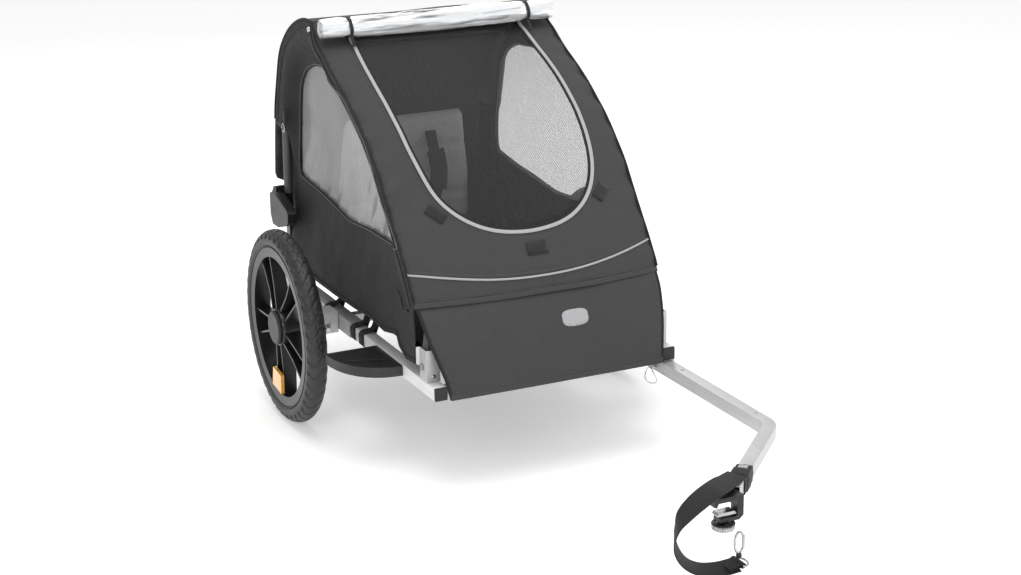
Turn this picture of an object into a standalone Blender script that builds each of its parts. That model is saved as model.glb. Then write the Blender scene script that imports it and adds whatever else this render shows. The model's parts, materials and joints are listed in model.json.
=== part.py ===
"""Child bicycle trailer: a two-wheeled folding trailer with a fabric cabin and a side tow arm.

Units are metres and +Z is up. The trailer travels towards -Y, its left side is +X, and the floor is z = 0.
Positions are written relative to the point on the floor below the middle of the wheel axle; the empty
named trailer carries them all to the place where the bounding box is centred on the origin.
"""

import math

import bmesh
import bpy
from mathutils import Matrix, Vector

GAP = 0.0003  # clearance left between touching pieces
SIDES = (("right", -1.0), ("left", 1.0))

# Overall
AXLE_Y = 0.3887  # the axle's place behind the centre of the bounding box
TYRE_RADIUS = 0.200
TRACK_HALF = 0.365  # wheel centre planes

# Bottom frame
TUBE = 0.0254
TUBE_WALL = 0.0016
RAIL_X = 0.2425
RAIL_Z = 0.19735
RAIL_FRONT = -0.504
RAIL_REAR = 0.342
RAIL_TOP = RAIL_Z + TUBE / 2
RAIL_BOTTOM = RAIL_Z - TUBE / 2
RAIL_OUTER = RAIL_X + TUBE / 2
RAIL_INNER = RAIL_X - TUBE / 2
RAIL_JOIN = 0.020
SLEEVE_FRONT = -0.083
SLEEVE_WALL = 0.0030
SLEEVE_OUTER = RAIL_OUTER + GAP + SLEEVE_WALL
SLEEVE_INNER = RAIL_INNER - GAP - SLEEVE_WALL
SLEEVE_TOP = RAIL_TOP + GAP + SLEEVE_WALL
CROSS_TUBE = 0.020
CROSS_Z = RAIL_BOTTOM + CROSS_TUBE / 2
FLOOR_LOW = 0.2500
FLOOR_THICKNESS = 0.0060

# Cabin frame
HOOP_RADIUS = 0.0095
HOOP_WALL = 0.0014
FRONT_PIVOT = (-0.455, 0.237)  # y, z
TOP_PIVOT = (0.070, 0.7900)  # y, z
FRONT_HOOP_X = RAIL_X
FRONT_HOOP_TOP_X = 0.2215
REAR_HOOP_X = 0.2460
HOOP_CORNER = 0.024
PIVOT_RADIUS = 0.0035
POST = 0.020
POST_Y = 0.285
POST_TOP = 0.3300

# Fabric shell
SHELL_X = 0.2605
FABRIC = 0.003
SIDE_INSET = 0.0045
OPENING_HALF = 0.193
OPENING_STRAIGHT = 0.300
OPENING_ROUND = 0.213
SLOPE_TOP = (0.023, 0.771)
SLOPE_LOW = (-0.407, 0.400)
ROLL_RADIUS = 0.0198
ROLL_CENTRE = (0.0255, 0.7910)  # y, z

# Tow arm
ARM_TOP = RAIL_BOTTOM - 0.005
ARM_Z = ARM_TOP - TUBE / 2
ARM_PIVOT_Y = -0.385
ARM_REAR = -0.362
ARM_BEND_Y = -0.870
ARM_BEND_RADIUS = 0.045
ARM_LEG = 0.300
LEG_DIRECTION = Vector((-math.sqrt(0.5), -math.sqrt(0.5), 0.0))
LOCK_PIN_Y = -0.475
EAR_REAR = -0.418
BOLT_RADIUS = 0.005


for old in list(bpy.data.objects):
    bpy.data.objects.remove(old, do_unlink=True)

trailer = bpy.data.objects.new("trailer", None)
trailer.location = (0.0, AXLE_Y, 0.0)
bpy.context.scene.collection.objects.link(trailer)


# ---------------------------------------------------------------- materials


def make_material(name, colour, roughness, metallic=0.0, alpha=1.0):
    material = bpy.data.materials.new(name)
    material.use_nodes = True
    shader = material.node_tree.nodes["Principled BSDF"]
    shader.inputs["Base Color"].default_value = (*colour, 1.0)
    shader.inputs["Roughness"].default_value = roughness
    shader.inputs["Metallic"].default_value = metallic
    shader.inputs["Alpha"].default_value = alpha
    return material


STEEL = make_material("silver_tube", (0.62, 0.62, 0.63), 0.35, 0.9)
BRIGHT = make_material("zinc_fastener", (0.75, 0.75, 0.76), 0.25, 1.0)
DARK_TUBE = make_material("black_tube", (0.045, 0.045, 0.05), 0.4, 0.3)
PLASTIC = make_material("black_plastic", (0.035, 0.035, 0.037), 0.55)
TYRE = make_material("tyre_rubber", (0.06, 0.06, 0.062), 0.75)
RIM = make_material("rim_plastic", (0.045, 0.045, 0.047), 0.45)
FABRIC_FRONT = make_material("front_fabric", (0.06, 0.06, 0.062), 0.85)
FABRIC_SIDE = make_material("side_fabric", (0.03, 0.03, 0.032), 0.85)
MESH = make_material("window_mesh", (0.02, 0.02, 0.02), 0.9, 0.0, 0.5)
SEAT = make_material("seat_fabric", (0.16, 0.16, 0.165), 0.85)
VINYL = make_material("clear_vinyl", (0.8, 0.82, 0.84), 0.12, 0.0, 0.6)
WEBBING = make_material("black_webbing", (0.03, 0.03, 0.032), 0.8)
AMBER = make_material("amber_reflector", (0.85, 0.35, 0.04), 0.2)


# ---------------------------------------------------------------- shape helpers


def add_box(bm, low, high):
    corners = [
        bm.verts.new((x, y, z))
        for x in (low[0], high[0])
        for y in (low[1], high[1])
        for z in (low[2], high[2])
    ]
    for face in ((0, 1, 3, 2), (4, 6, 7, 5), (0, 4, 5, 1), (2, 3, 7, 6), (0, 2, 6, 4), (1, 5, 7, 3)):
        bm.faces.new([corners[i] for i in face])


def add_loops(bm, rings, closed=False):
    """Joins rings of points in turn, and caps the ends unless the rings close on themselves."""
    loops = [[bm.verts.new(point) for point in ring] for ring in rings]
    count = len(loops[0])
    pairs = list(zip(loops, loops[1:]))
    if closed:
        pairs.append((loops[-1], loops[0]))
    for first, second in pairs:
        for i in range(count):
            j = (i + 1) % count
            bm.faces.new((first[i], first[j], second[j], second[i]))
    if not closed:
        bm.faces.new(loops[0])
        bm.faces.new(list(reversed(loops[-1])))


def add_prism(bm, outline, offset):
    """Extrudes a flat outline of points by an offset vector."""
    add_loops(bm, [outline, [Vector(point) + Vector(offset) for point in outline]])


def frames_along(path, up):
    """A centre, a sideways and an upward vector at each point of a path, square to the path there."""
    frames = []
    for i, point in enumerate(path):
        ahead = path[min(i + 1, len(path) - 1)] - path[max(i - 1, 0)]
        ahead.normalize()
        side = ahead.cross(up)
        if side.length < 1e-6:
            side = frames[-1][1].copy()
        side.normalize()
        rise = side.cross(ahead).normalized()
        frames.append((point, side, rise))
    return frames


def transported_frames(path, first_side):
    """Frames along a path that turns in space, carried from point to point without twisting."""
    frames = []
    side = first_side
    for i, point in enumerate(path):
        ahead = (path[min(i + 1, len(path) - 1)] - path[max(i - 1, 0)]).normalized()
        side = (side - ahead * side.dot(ahead)).normalized()
        frames.append((point, side, side.cross(ahead)))
    return frames


def rings_on(frames, section):
    return [[point + side * u + rise * v for u, v in section] for point, side, rise in frames]


def add_hollow(bm, frames, outer, inner):
    """A pipe with open ends: an outer and an inner section swept along the same frames."""
    outside = [[bm.verts.new(p) for p in ring] for ring in rings_on(frames, outer)]
    inside = [[bm.verts.new(p) for p in ring] for ring in rings_on(frames, inner)]
    count = len(outer)
    for skin in (outside, inside):
        for first, second in zip(skin, skin[1:]):
            for i in range(count):
                j = (i + 1) % count
                bm.faces.new((first[i], first[j], second[j], second[i]))
    for end in (0, -1):
        for i in range(count):
            j = (i + 1) % count
            bm.faces.new((outside[end][i], outside[end][j], inside[end][j], inside[end][i]))


def circle(radius, count=12):
    angles = [2 * math.pi * (i + 0.5) / count for i in range(count)]
    return [(radius * math.cos(angle), radius * math.sin(angle)) for angle in angles]


def square(size):
    half = size / 2
    return [(-half, -half), (half, -half), (half, half), (-half, half)]


def rectangle(width, height):
    x, y = width / 2, height / 2
    return [(-x, -y), (x, -y), (x, y), (-x, y)]


def add_turned(bm, centre, axis, profile, count=32, closed=False):
    """Turns a profile of (radius, distance along the axis) points about an axis through the centre."""
    axis = Vector(axis).normalized()
    first = axis.orthogonal().normalized()
    second = axis.cross(first)
    centre = Vector(centre)
    rings = []
    for radius, along in profile:
        ring = []
        for i in range(count):
            angle = 2 * math.pi * i / count
            ring.append(centre + axis * along + (first * math.cos(angle) + second * math.sin(angle)) * radius)
        rings.append(ring)
    add_loops(bm, rings, closed)


def add_rod(bm, start, end, radius, count=16):
    start = Vector(start)
    run = Vector(end) - start
    add_turned(bm, start, run, [(radius, 0.0), (radius, run.length)], count)


def smooth_route(points, per_span):
    """Points on a Catmull-Rom curve through a route's own points."""
    route = [Vector(p) for p in points]
    padded = [route[0] * 2 - route[1], *route, route[-1] * 2 - route[-2]]
    out = []
    for i in range(1, len(padded) - 2):
        p0, p1, p2, p3 = padded[i - 1 : i + 3]
        for k in range(per_span):
            t = k / per_span
            out.append(
                0.5
                * (
                    2 * p1
                    + (p2 - p0) * t
                    + (2 * p0 - 5 * p1 + 4 * p2 - p3) * t**2
                    + (3 * p1 - p0 - 3 * p2 + p3) * t**3
                )
            )
    out.append(route[-1])
    return out


def make(name, bm, material, pivot=(0.0, 0.0, 0.0), smooth=True):
    """Turns a bmesh in trailer coordinates into an object whose origin is the pivot."""
    bmesh.ops.recalc_face_normals(bm, faces=bm.faces)
    mesh = bpy.data.meshes.new(name)
    bm.to_mesh(mesh)
    bm.free()
    mesh.transform(Matrix.Translation(-Vector(pivot)))
    if smooth:
        mesh.shade_smooth()
        mesh.set_sharp_from_angle(angle=math.radians(35))
    mesh.materials.append(material)
    obj = bpy.data.objects.new(name, mesh)
    obj.location = pivot
    obj.parent = trailer
    bpy.context.scene.collection.objects.link(obj)
    return obj


def combine(target, fill, operation, label):
    """Adds a Boolean modifier whose tool is filled in by a function that draws on a bmesh."""
    bm = bmesh.new()
    fill(bm)
    tool = make(f"{target.name}_{label}", bm, target.data.materials[0], smooth=False)
    tool.hide_render = True
    tool.display_type = "WIRE"
    modifier = target.modifiers.new(label, "BOOLEAN")
    modifier.operation = operation
    modifier.object = tool
    modifier.solver = "EXACT"


def cut_rods(target, rods, label):
    def fill(bm):
        for start, end, radius in rods:
            add_rod(bm, start, end, radius, 20)

    combine(target, fill, "DIFFERENCE", label)


def straight(start, end):
    return frames_along([Vector(start), Vector(end)], Vector((0, 0, 1)))


# ---------------------------------------------------------------- bottom frame


def make_rails():
    """Square front rails with black caps, each plugged into a larger rear rail that carries the axle."""
    for side, sign in SIDES:
        x = sign * RAIL_X
        bm = bmesh.new()
        add_hollow(
            bm,
            straight((x, RAIL_FRONT, RAIL_Z), (x, RAIL_JOIN, RAIL_Z)),
            square(TUBE),
            square(TUBE - 2 * TUBE_WALL),
        )
        make(f"front_rail_{side}", bm, STEEL, smooth=False)

        bm = bmesh.new()
        cap_front = RAIL_FRONT - 0.004
        plug = TUBE / 2 - TUBE_WALL - GAP
        add_box(
            bm,
            (x - TUBE / 2, cap_front, RAIL_Z - TUBE / 2),
            (x + TUBE / 2, RAIL_FRONT - GAP, RAIL_Z + TUBE / 2),
        )
        cap = make(f"rail_cap_{side}", bm, PLASTIC, smooth=False)

        def fill_plug(bm, x=x, plug=plug, cap_front=cap_front):
            add_box(
                bm,
                (x - plug, cap_front + 0.001, RAIL_Z - plug),
                (x + plug, RAIL_FRONT + 0.012, RAIL_Z + plug),
            )

        combine(cap, fill_plug, "UNION", "plug")

        bm = bmesh.new()
        inner = TUBE + 2 * GAP
        add_hollow(
            bm,
            straight((x, SLEEVE_FRONT, RAIL_Z), (x, RAIL_REAR, RAIL_Z)),
            square(inner + 2 * SLEEVE_WALL),
            square(inner),
        )
        make(f"rear_rail_{side}", bm, STEEL, smooth=False)


def make_cross_tubes():
    reach = RAIL_INNER - GAP
    sleeve_reach = SLEEVE_INNER - GAP
    for name, y, half in (
        ("front_cross_tube", -0.485, reach),
        ("axle_cross_tube", 0.0, sleeve_reach),
        ("rear_cross_tube", 0.315, sleeve_reach),
    ):
        bm = bmesh.new()
        add_hollow(
            bm,
            straight((-half, y, CROSS_Z), (half, y, CROSS_Z)),
            square(CROSS_TUBE),
            square(CROSS_TUBE - 2 * TUBE_WALL),
        )
        make(name, bm, STEEL, smooth=False)


def make_fenders():
    """Quarter-round guard plates that keep feet away from the wheels."""
    top = 0.2085
    bottom = 0.1875
    rear_y = -0.222
    reach = 0.108
    run = 0.134
    corners = 10
    for side, sign in SIDES:
        inner_x = RAIL_OUTER + GAP
        outline = [Vector((sign * inner_x, rear_y, bottom))]
        for i in range(corners + 1):
            angle = math.radians(90) * i / corners
            out = inner_x + reach * math.cos(angle) ** 0.9
            outline.append(Vector((sign * out, rear_y - run * math.sin(angle) ** 0.9, bottom)))
        bm = bmesh.new()
        add_prism(bm, outline, (0, 0, top - bottom))
        bmesh.ops.recalc_face_normals(bm, faces=bm.faces)
        lid = [face for face in bm.faces if face.normal.z > 0.9]
        bmesh.ops.inset_region(bm, faces=lid, thickness=0.006, depth=0.0)
        for face in lid:
            for vert in face.verts:
                vert.co.z -= 0.002
        make(f"fender_plate_{side}", bm, PLASTIC, smooth=False)


def make_sockets():
    """Upright channels, open to the rear, that hold the feet of the front hoop, and their pivot bolts."""
    y, z = FRONT_PIVOT
    half = 0.0140
    wall = 0.0025
    front = y - 0.0185
    rear = y + 0.013
    base = RAIL_TOP + GAP
    top = 0.273
    for side, sign in SIDES:
        x = sign * FRONT_HOOP_X
        outline = [
            (x - half, front),
            (x + half, front),
            (x + half, rear),
            (x + half - wall, rear),
            (x + half - wall, front + wall),
            (x - half + wall, front + wall),
            (x - half + wall, rear),
            (x - half, rear),
        ]
        bm = bmesh.new()
        add_prism(bm, [Vector((px, py, base)) for px, py in outline], (0, 0, top - base))
        socket = make(f"front_socket_{side}", bm, STEEL, smooth=False)
        cut_rods(socket, [((x - 0.03, y, z), (x + 0.03, y, z), PIVOT_RADIUS + GAP)], "pivot_hole")

        bm = bmesh.new()
        head = 0.0042
        add_turned(
            bm,
            (x - sign * (half + 0.004), y, z),
            (sign, 0, 0),
            [
                (PIVOT_RADIUS, 0.0),
                (PIVOT_RADIUS, 2 * half + 0.004 + GAP),
                (0.0068, 2 * half + 0.004 + GAP),
                (0.0068, 2 * half + 0.004 + GAP + head),
            ],
            12,
        )
        make(f"socket_bolt_{side}", bm, BRIGHT)


def make_rear_locks():
    """Rear posts with the plastic brackets that the rear hoop's ends lock to, and their release levers."""
    for side, sign in SIDES:
        bm = bmesh.new()
        x = sign * RAIL_X
        add_hollow(
            bm,
            frames_along(
                [Vector((x, POST_Y, SLEEVE_TOP + GAP)), Vector((x, POST_Y, POST_TOP))],
                Vector((0, 1, 0)),
            ),
            square(POST),
            square(POST - 2 * TUBE_WALL),
        )
        make(f"rear_post_{side}", bm, DARK_TUBE, smooth=False)

        low = POST_TOP + GAP
        bm = bmesh.new()
        outline = [(0.270, low), (0.312, low), (0.312, 0.412), (0.303, 0.412)]
        outline += [(0.303, low + 0.012), (0.270, low + 0.012)]
        xs = sorted((sign * 0.2320, sign * 0.2700))
        add_prism(bm, [Vector((xs[0], y, z)) for y, z in outline], (xs[1] - xs[0], 0, 0))
        bracket = make(f"lock_bracket_{side}", bm, PLASTIC, smooth=False)

        def fill_plate(bm, sign=sign):
            plate = sorted((sign * 0.2612, sign * 0.2820))
            points = [
                (0.312, 0.352),
                (0.312, 0.398),
                (0.300, 0.403),
                (0.272, 0.403),
                (0.206, 0.384),
                (0.198, 0.375),
                (0.200, 0.357),
                (0.212, 0.347),
                (0.266, low + 0.001),
                (0.300, low + 0.001),
            ]
            add_prism(bm, [Vector((plate[0], y, z)) for y, z in points], (plate[1] - plate[0], 0, 0))

        combine(bracket, fill_plate, "UNION", "plate")

        hinge = Vector((sign * 0.2550, 0.3175, 0.4050))
        bm = bmesh.new()
        points = [
            (0.3130, 0.4030),
            (0.3140, 0.4085),
            (0.3190, 0.4100),
            (0.3340, 0.392),
            (0.3460, 0.366),
            (0.3400, 0.352),
            (0.3280, 0.360),
            (0.3220, 0.384),
            (0.3130, 0.3960),
        ]
        xs = sorted((sign * 0.2400, sign * 0.2700))
        add_prism(bm, [Vector((xs[0], y, z)) for y, z in points], (xs[1] - xs[0], 0, 0))
        make(f"lock_lever_{side}", bm, PLASTIC, hinge, smooth=False)


def make_floor():
    """The stiff floor of the fabric tub, held above the rails."""
    half = 0.2285
    bm = bmesh.new()
    add_box(bm, (-half, -0.400, FLOOR_LOW), (half, 0.325, FLOOR_LOW + FLOOR_THICKNESS))
    make("floor_panel", bm, FABRIC_SIDE, smooth=False)


# ---------------------------------------------------------------- wheels

HUB_HALF = 0.020
HUB_BORE = 0.0063
AXLE_RADIUS = 0.0060
RIM_INNER = 0.147
RIM_BED = 0.1577
SPOKES = 5
FIRST_SPOKE = math.radians(61)
CAP_FACE = 0.0275


def add_spoke(bm, centre, out, angle):
    """One channel-section spoke, open towards the outside of the wheel and wider at the rim."""
    radial = Vector((0, math.cos(angle), math.sin(angle)))
    tangent = Vector((0, -math.sin(angle), math.cos(angle)))
    axis = Vector((out, 0, 0))
    rib = 0.0040
    web = 0.0045
    rings = []
    for radius, half, back, front in (
        (0.030, 0.0150, -0.017, 0.017),
        (0.085, 0.0190, -0.015, 0.013),
        (RIM_INNER + 0.004, 0.0290, -0.013, 0.0125),
    ):
        section = [
            (-half, back),
            (-half, front),
            (-half + rib, front),
            (-half + rib, back + web),
            (half - rib, back + web),
            (half - rib, front),
            (half, front),
            (half, back),
        ]
        rings.append([centre + radial * radius + tangent * t + axis * a for t, a in section])
    add_loops(bm, rings)


def make_wheels():
    tyre_profile = [
        (0.1590, -0.0115),
        (0.1665, -0.0165),
        (0.1740, -0.0215),
        (0.1830, -0.0220),
        (0.1915, -0.0190),
        (0.1975, -0.0120),
        (0.2000, 0.0),
    ]
    tyre_profile += [(radius, -along) for radius, along in reversed(tyre_profile[:-1])]
    rim_profile = [
        (0.1450, -0.0175),
        (0.1450, 0.0175),
        (0.1640, 0.0190),
        (0.1640, 0.0172),
        (RIM_BED, 0.0120),
        (RIM_BED, -0.0120),
        (0.1640, -0.0172),
        (0.1640, -0.0190),
    ]
    for side, sign in SIDES:
        centre = Vector((sign * TRACK_HALF, 0, TYRE_RADIUS))
        bm = bmesh.new()
        add_turned(bm, centre, (sign, 0, 0), tyre_profile, 48, closed=True)
        make(f"tyre_{side}", bm, TYRE, centre)

        bm = bmesh.new()
        add_turned(bm, centre, (sign, 0, 0), rim_profile, 48, closed=True)
        wheel = make(f"wheel_{side}", bm, RIM, centre)
        for i in range(SPOKES):
            angle = FIRST_SPOKE + 2 * math.pi * i / SPOKES

            def fill_spoke(bm, angle=angle, centre=centre, sign=sign):
                add_spoke(bm, centre, sign, angle)

            combine(wheel, fill_spoke, "UNION", f"spoke_{i}")

        def fill_hub(bm, centre=centre, sign=sign):
            add_turned(
                bm,
                centre,
                (sign, 0, 0),
                [(0.026, -HUB_HALF - 0.004), (0.038, -HUB_HALF + 0.003), (0.042, 0.010), (0.038, 0.0195)],
                24,
            )

        combine(wheel, fill_hub, "UNION", "hub")
        cut_rods(
            wheel,
            [(centre - Vector((0.05, 0, 0)), centre + Vector((0.05, 0, 0)), HUB_BORE)],
            "bore",
        )

        bm = bmesh.new()
        add_turned(
            bm,
            centre + Vector((sign * (0.0195 + GAP), 0, 0)),
            (sign, 0, 0),
            [(0.0350, 0.0), (0.0350, 0.0045), (0.0320, CAP_FACE - 0.0195 - GAP)],
            28,
        )
        make(f"hub_cap_{side}", bm, PLASTIC, centre)

        reflector_angle = math.radians(277)
        radial = Vector((0, math.cos(reflector_angle), math.sin(reflector_angle)))
        tangent = Vector((0, -math.sin(reflector_angle), math.cos(reflector_angle)))
        middle = centre + radial * 0.1205
        bm = bmesh.new()
        outline = [
            middle + radial * r + tangent * t + Vector((sign * 0.0135, 0, 0))
            for r, t in ((-0.021, -0.024), (0.020, -0.027), (0.020, 0.027), (-0.021, 0.024))
        ]
        add_prism(bm, outline, (sign * 0.007, 0, 0))
        make(f"spoke_reflector_{side}", bm, AMBER, centre, smooth=False)


def make_axles():
    """Stub axles in receivers outside the rails, each held by a spring pin that is pulled to free it."""
    inner = SLEEVE_OUTER + GAP
    for side, sign in SIDES:
        xs = sorted((sign * inner, sign * 0.3135))
        bm = bmesh.new()
        add_box(bm, (xs[0], -0.024, 0.176), (xs[1], 0.024, 0.222))
        receiver = make(f"axle_receiver_{side}", bm, STEEL)
        bevel = receiver.modifiers.new("edges", "BEVEL")
        bevel.width = 0.003
        bevel.segments = 2
        bevel.limit_method = "ANGLE"
        pin_x = sign * 0.286
        pin_z = TYRE_RADIUS - AXLE_RADIUS - 0.006
        cut_rods(
            receiver,
            [
                ((sign * (inner + 0.004), 0, TYRE_RADIUS), (sign * 0.33, 0, TYRE_RADIUS), AXLE_RADIUS + GAP),
            ],
            "axle_bore",
        )
        cut_rods(
            receiver,
            [((pin_x, -0.030, pin_z), (pin_x, 0.010, pin_z), 0.0040 + GAP)],
            "pin_bore",
        )

        bm = bmesh.new()
        start = Vector((sign * (inner + 0.005), 0, TYRE_RADIUS))
        reach = TRACK_HALF + 0.0190 - inner - 0.005
        add_turned(
            bm,
            start,
            (sign, 0, 0),
            [
                (AXLE_RADIUS - 0.001, 0.0),
                (AXLE_RADIUS, 0.001),
                (AXLE_RADIUS, 0.0520),
                (0.0095, 0.0520),
                (0.0095, 0.0560),
                (AXLE_RADIUS, 0.0560),
                (AXLE_RADIUS, reach),
            ],
            20,
        )
        make(f"wheel_axle_{side}", bm, BRIGHT)

        bm = bmesh.new()
        add_turned(
            bm,
            (pin_x, 0.004, pin_z),
            (0, -1, 0),
            [(0.0040, 0.0), (0.0040, 0.0285), (0.0070, 0.0285), (0.0075, 0.0340), (0.0055, 0.0400)],
            16,
        )
        make(f"wheel_release_pin_{side}", bm, BRIGHT, (pin_x, 0.004, pin_z))


# ---------------------------------------------------------------- cabin frame

FRONT_LEG = (
    (FRONT_HOOP_X, *FRONT_PIVOT),
    (FRONT_HOOP_X, -0.4490, 0.2740),
    (0.2310, -0.4360, 0.3150),
    (FRONT_HOOP_TOP_X, -0.4120, 0.3540),
    (FRONT_HOOP_TOP_X, -0.3770, 0.4030),
    (FRONT_HOOP_TOP_X, -0.3120, 0.4900),
    (FRONT_HOOP_TOP_X, -0.2150, 0.5940),
    (FRONT_HOOP_TOP_X, -0.1350, 0.6500),
    (FRONT_HOOP_TOP_X, -0.0400, 0.7030),
    (FRONT_HOOP_TOP_X, 0.0050, 0.7290),
    (FRONT_HOOP_TOP_X, 0.0460, 0.7540),
    (FRONT_HOOP_TOP_X, *TOP_PIVOT),
)
REAR_LEG = (
    TOP_PIVOT,
    (0.1080, 0.7840),
    (0.1560, 0.7620),
    (0.2060, 0.7290),
    (0.2520, 0.6850),
    (0.2740, 0.6200),
    (0.2830, 0.5500),
    (0.2870, 0.4800),
    (0.2890, 0.4000),
)
CROSS_BAR = REAR_LEG[3]


def make_front_hoop():
    """One bent tube: up from the right socket, across the roof and down to the left socket."""
    leg = smooth_route([(-x, y, z) for x, y, z in FRONT_LEG], 2)
    leg.insert(0, leg[0] - (leg[1] - leg[0]).normalized() * 0.009)
    ahead = Vector((0, 1, 0))
    corner = []
    steps = 5
    for i in range(1, steps + 1):
        angle = math.radians(90) * i / steps
        shift = Vector((HOOP_CORNER * (1 - math.cos(angle)), 0, 0))
        corner.append(leg[-1] + ahead * HOOP_CORNER * math.sin(angle) + shift)
    half = leg + corner
    mirrored = [Vector((-p.x, p.y, p.z)) for p in reversed(half)]
    frames = transported_frames(half + mirrored, Vector((1, 0, 0)))
    bm = bmesh.new()
    add_hollow(bm, frames, circle(HOOP_RADIUS, 10), circle(HOOP_RADIUS - HOOP_WALL, 10))
    hoop = make("front_hoop", bm, DARK_TUBE, (0, *FRONT_PIVOT))
    rods = []
    for _, sign in SIDES:
        x = sign * FRONT_HOOP_X
        rods.append(((x - 0.02, *FRONT_PIVOT), (x + 0.02, *FRONT_PIVOT), PIVOT_RADIUS + GAP))
        x = sign * FRONT_HOOP_TOP_X
        rods.append(((x - 0.02, *TOP_PIVOT), (x + 0.02, *TOP_PIVOT), PIVOT_RADIUS + GAP))
    cut_rods(hoop, rods, "pivot_holes")


def make_rear_hoop():
    """Two curved side tubes and a cross bar behind the seat back."""
    leg = smooth_route([(0, y, z) for y, z in REAR_LEG], 2)
    leg.insert(0, leg[0] + (leg[0] - leg[1]).normalized() * 0.011)

    def add_tube(bm, x):
        frames = transported_frames([p + Vector((x, 0, 0)) for p in leg], Vector((1, 0, 0)))
        add_hollow(bm, frames, circle(HOOP_RADIUS, 10), circle(HOOP_RADIUS - HOOP_WALL, 10))

    bm = bmesh.new()
    add_tube(bm, -REAR_HOOP_X)
    hoop = make("rear_hoop", bm, DARK_TUBE, (0, *TOP_PIVOT))

    def fill_other(bm):
        add_tube(bm, REAR_HOOP_X)

    def fill_bar(bm):
        add_rod(bm, (-REAR_HOOP_X, *CROSS_BAR), (REAR_HOOP_X, *CROSS_BAR), HOOP_RADIUS - 0.0012, 12)

    combine(hoop, fill_bar, "UNION", "cross_bar")
    combine(hoop, fill_other, "UNION", "left_tube")
    cut_rods(
        hoop,
        [
            (
                (sign * (REAR_HOOP_X - 0.02), *TOP_PIVOT),
                (sign * (REAR_HOOP_X + 0.02), *TOP_PIVOT),
                PIVOT_RADIUS + GAP,
            )
            for _, sign in SIDES
        ],
        "pivot_holes",
    )


def make_top_pivots():
    """Rivets that join the two hoops at the roof corners, with their heads outside the fabric."""
    for side, sign in SIDES:
        bm = bmesh.new()
        add_turned(
            bm,
            (sign * 0.2080, *TOP_PIVOT),
            (sign, 0, 0),
            [
                (0.0060, 0.0),
                (0.0060, 0.0025),
                (PIVOT_RADIUS, 0.0025),
                (PIVOT_RADIUS, 0.0530),
                (0.0065, 0.0530),
                (0.0055, 0.0565),
            ],
            14,
        )
        make(f"top_rivet_{side}", bm, BRIGHT, (0, *TOP_PIVOT))


# ---------------------------------------------------------------- fabric shell

COVER_PROFILE = (
    (0.0560, 0.8090),
    (0.0515, 0.8030),
    (0.0482, 0.7900),
    (0.0395, 0.7705),
    (0.0120, 0.7560),
    (-0.0310, 0.7280),
    (-0.0850, 0.7020),
    (-0.1390, 0.6720),
    (-0.1830, 0.6430),
    (-0.2220, 0.6140),
    (-0.2810, 0.5580),
    (-0.3250, 0.5000),
    (-0.3650, 0.4480),
    (-0.4020, 0.3980),
    (-0.4240, 0.3660),
    (-0.4360, 0.3430),
)
REAR_PROFILE = (
    (0.0612, 0.8088),
    (0.1040, 0.8030),
    (0.1600, 0.7780),
    (0.2140, 0.7440),
    (0.2630, 0.7030),
    (0.3000, 0.6060),
    (0.3190, 0.5420),
    (0.3350, 0.4320),
    (0.3360, 0.4180),
    (0.3390, 0.3600),
    (0.3430, 0.2800),
    (0.3440, 0.2450),
)
LOWER_PROFILE = ((-0.4375, 0.341), (-0.466, 0.300), (-0.494, 0.252), (-0.516, 0.206), (-0.522, 0.186))


def strip_rings(profile, widths, thickness):
    """Rings for a sheet along a side profile, as wide as stated, with its outer face on the profile."""
    points = [Vector((0, y, z)) for y, z in profile]
    rings = []
    for i, point in enumerate(points):
        ahead = (points[min(i + 1, len(points) - 1)] - points[max(i - 1, 0)]).normalized()
        if ahead.y < 0:
            inward = Vector((0, -ahead.z, ahead.y))
        else:
            inward = Vector((0, ahead.z, -ahead.y))
        half = widths[i]
        inner = point + inward * thickness
        rings.append(
            [
                point + Vector((-half, 0, 0)),
                point + Vector((half, 0, 0)),
                inner + Vector((half, 0, 0)),
                inner + Vector((-half, 0, 0)),
            ]
        )
    return rings


def opening_outline(margin):
    """The window outline on the sloping front: straight sides and a half-ellipse at the bottom."""
    top = Vector((0, *SLOPE_TOP))
    along = (Vector((0, *SLOPE_LOW)) - top).normalized()
    half = OPENING_HALF - margin
    points = [(-half, 0.004 + margin), (half, 0.004 + margin)]
    steps = 20
    for i in range(steps + 1):
        angle = math.pi * i / steps
        points.append((half * math.cos(angle), OPENING_STRAIGHT + (OPENING_ROUND - margin) * math.sin(angle)))
    return [top + along * s + Vector((x, 0, 0)) for x, s in points], along


def make_cover():
    """The sloping front cover with its window opening, and the mesh that closes the opening."""
    widths = [SHELL_X] * len(COVER_PROFILE)
    for name, margin, operation, material in (
        ("front_cover", 0.0, "DIFFERENCE", FABRIC_FRONT),
        ("mesh_window", 0.0012, "INTERSECT", MESH),
    ):
        bm = bmesh.new()
        thickness = FABRIC if operation == "DIFFERENCE" else FABRIC / 2
        add_loops(bm, strip_rings(COVER_PROFILE, widths, thickness))
        panel = make(name, bm, material, smooth=False)

        def fill_opening(bm, margin=margin):
            outline, along = opening_outline(margin)
            normal = Vector((0, along.z, -along.y))
            add_prism(bm, [p - normal * 0.09 for p in outline], normal * 0.18)

        combine(panel, fill_opening, operation, "opening")


def inset_profile(profile):
    """The points of a side profile, moved inside the fabric that follows it."""
    return [(ring[2].y, ring[2].z) for ring in strip_rings(profile, [0.0] * len(profile), SIDE_INSET)]


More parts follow.
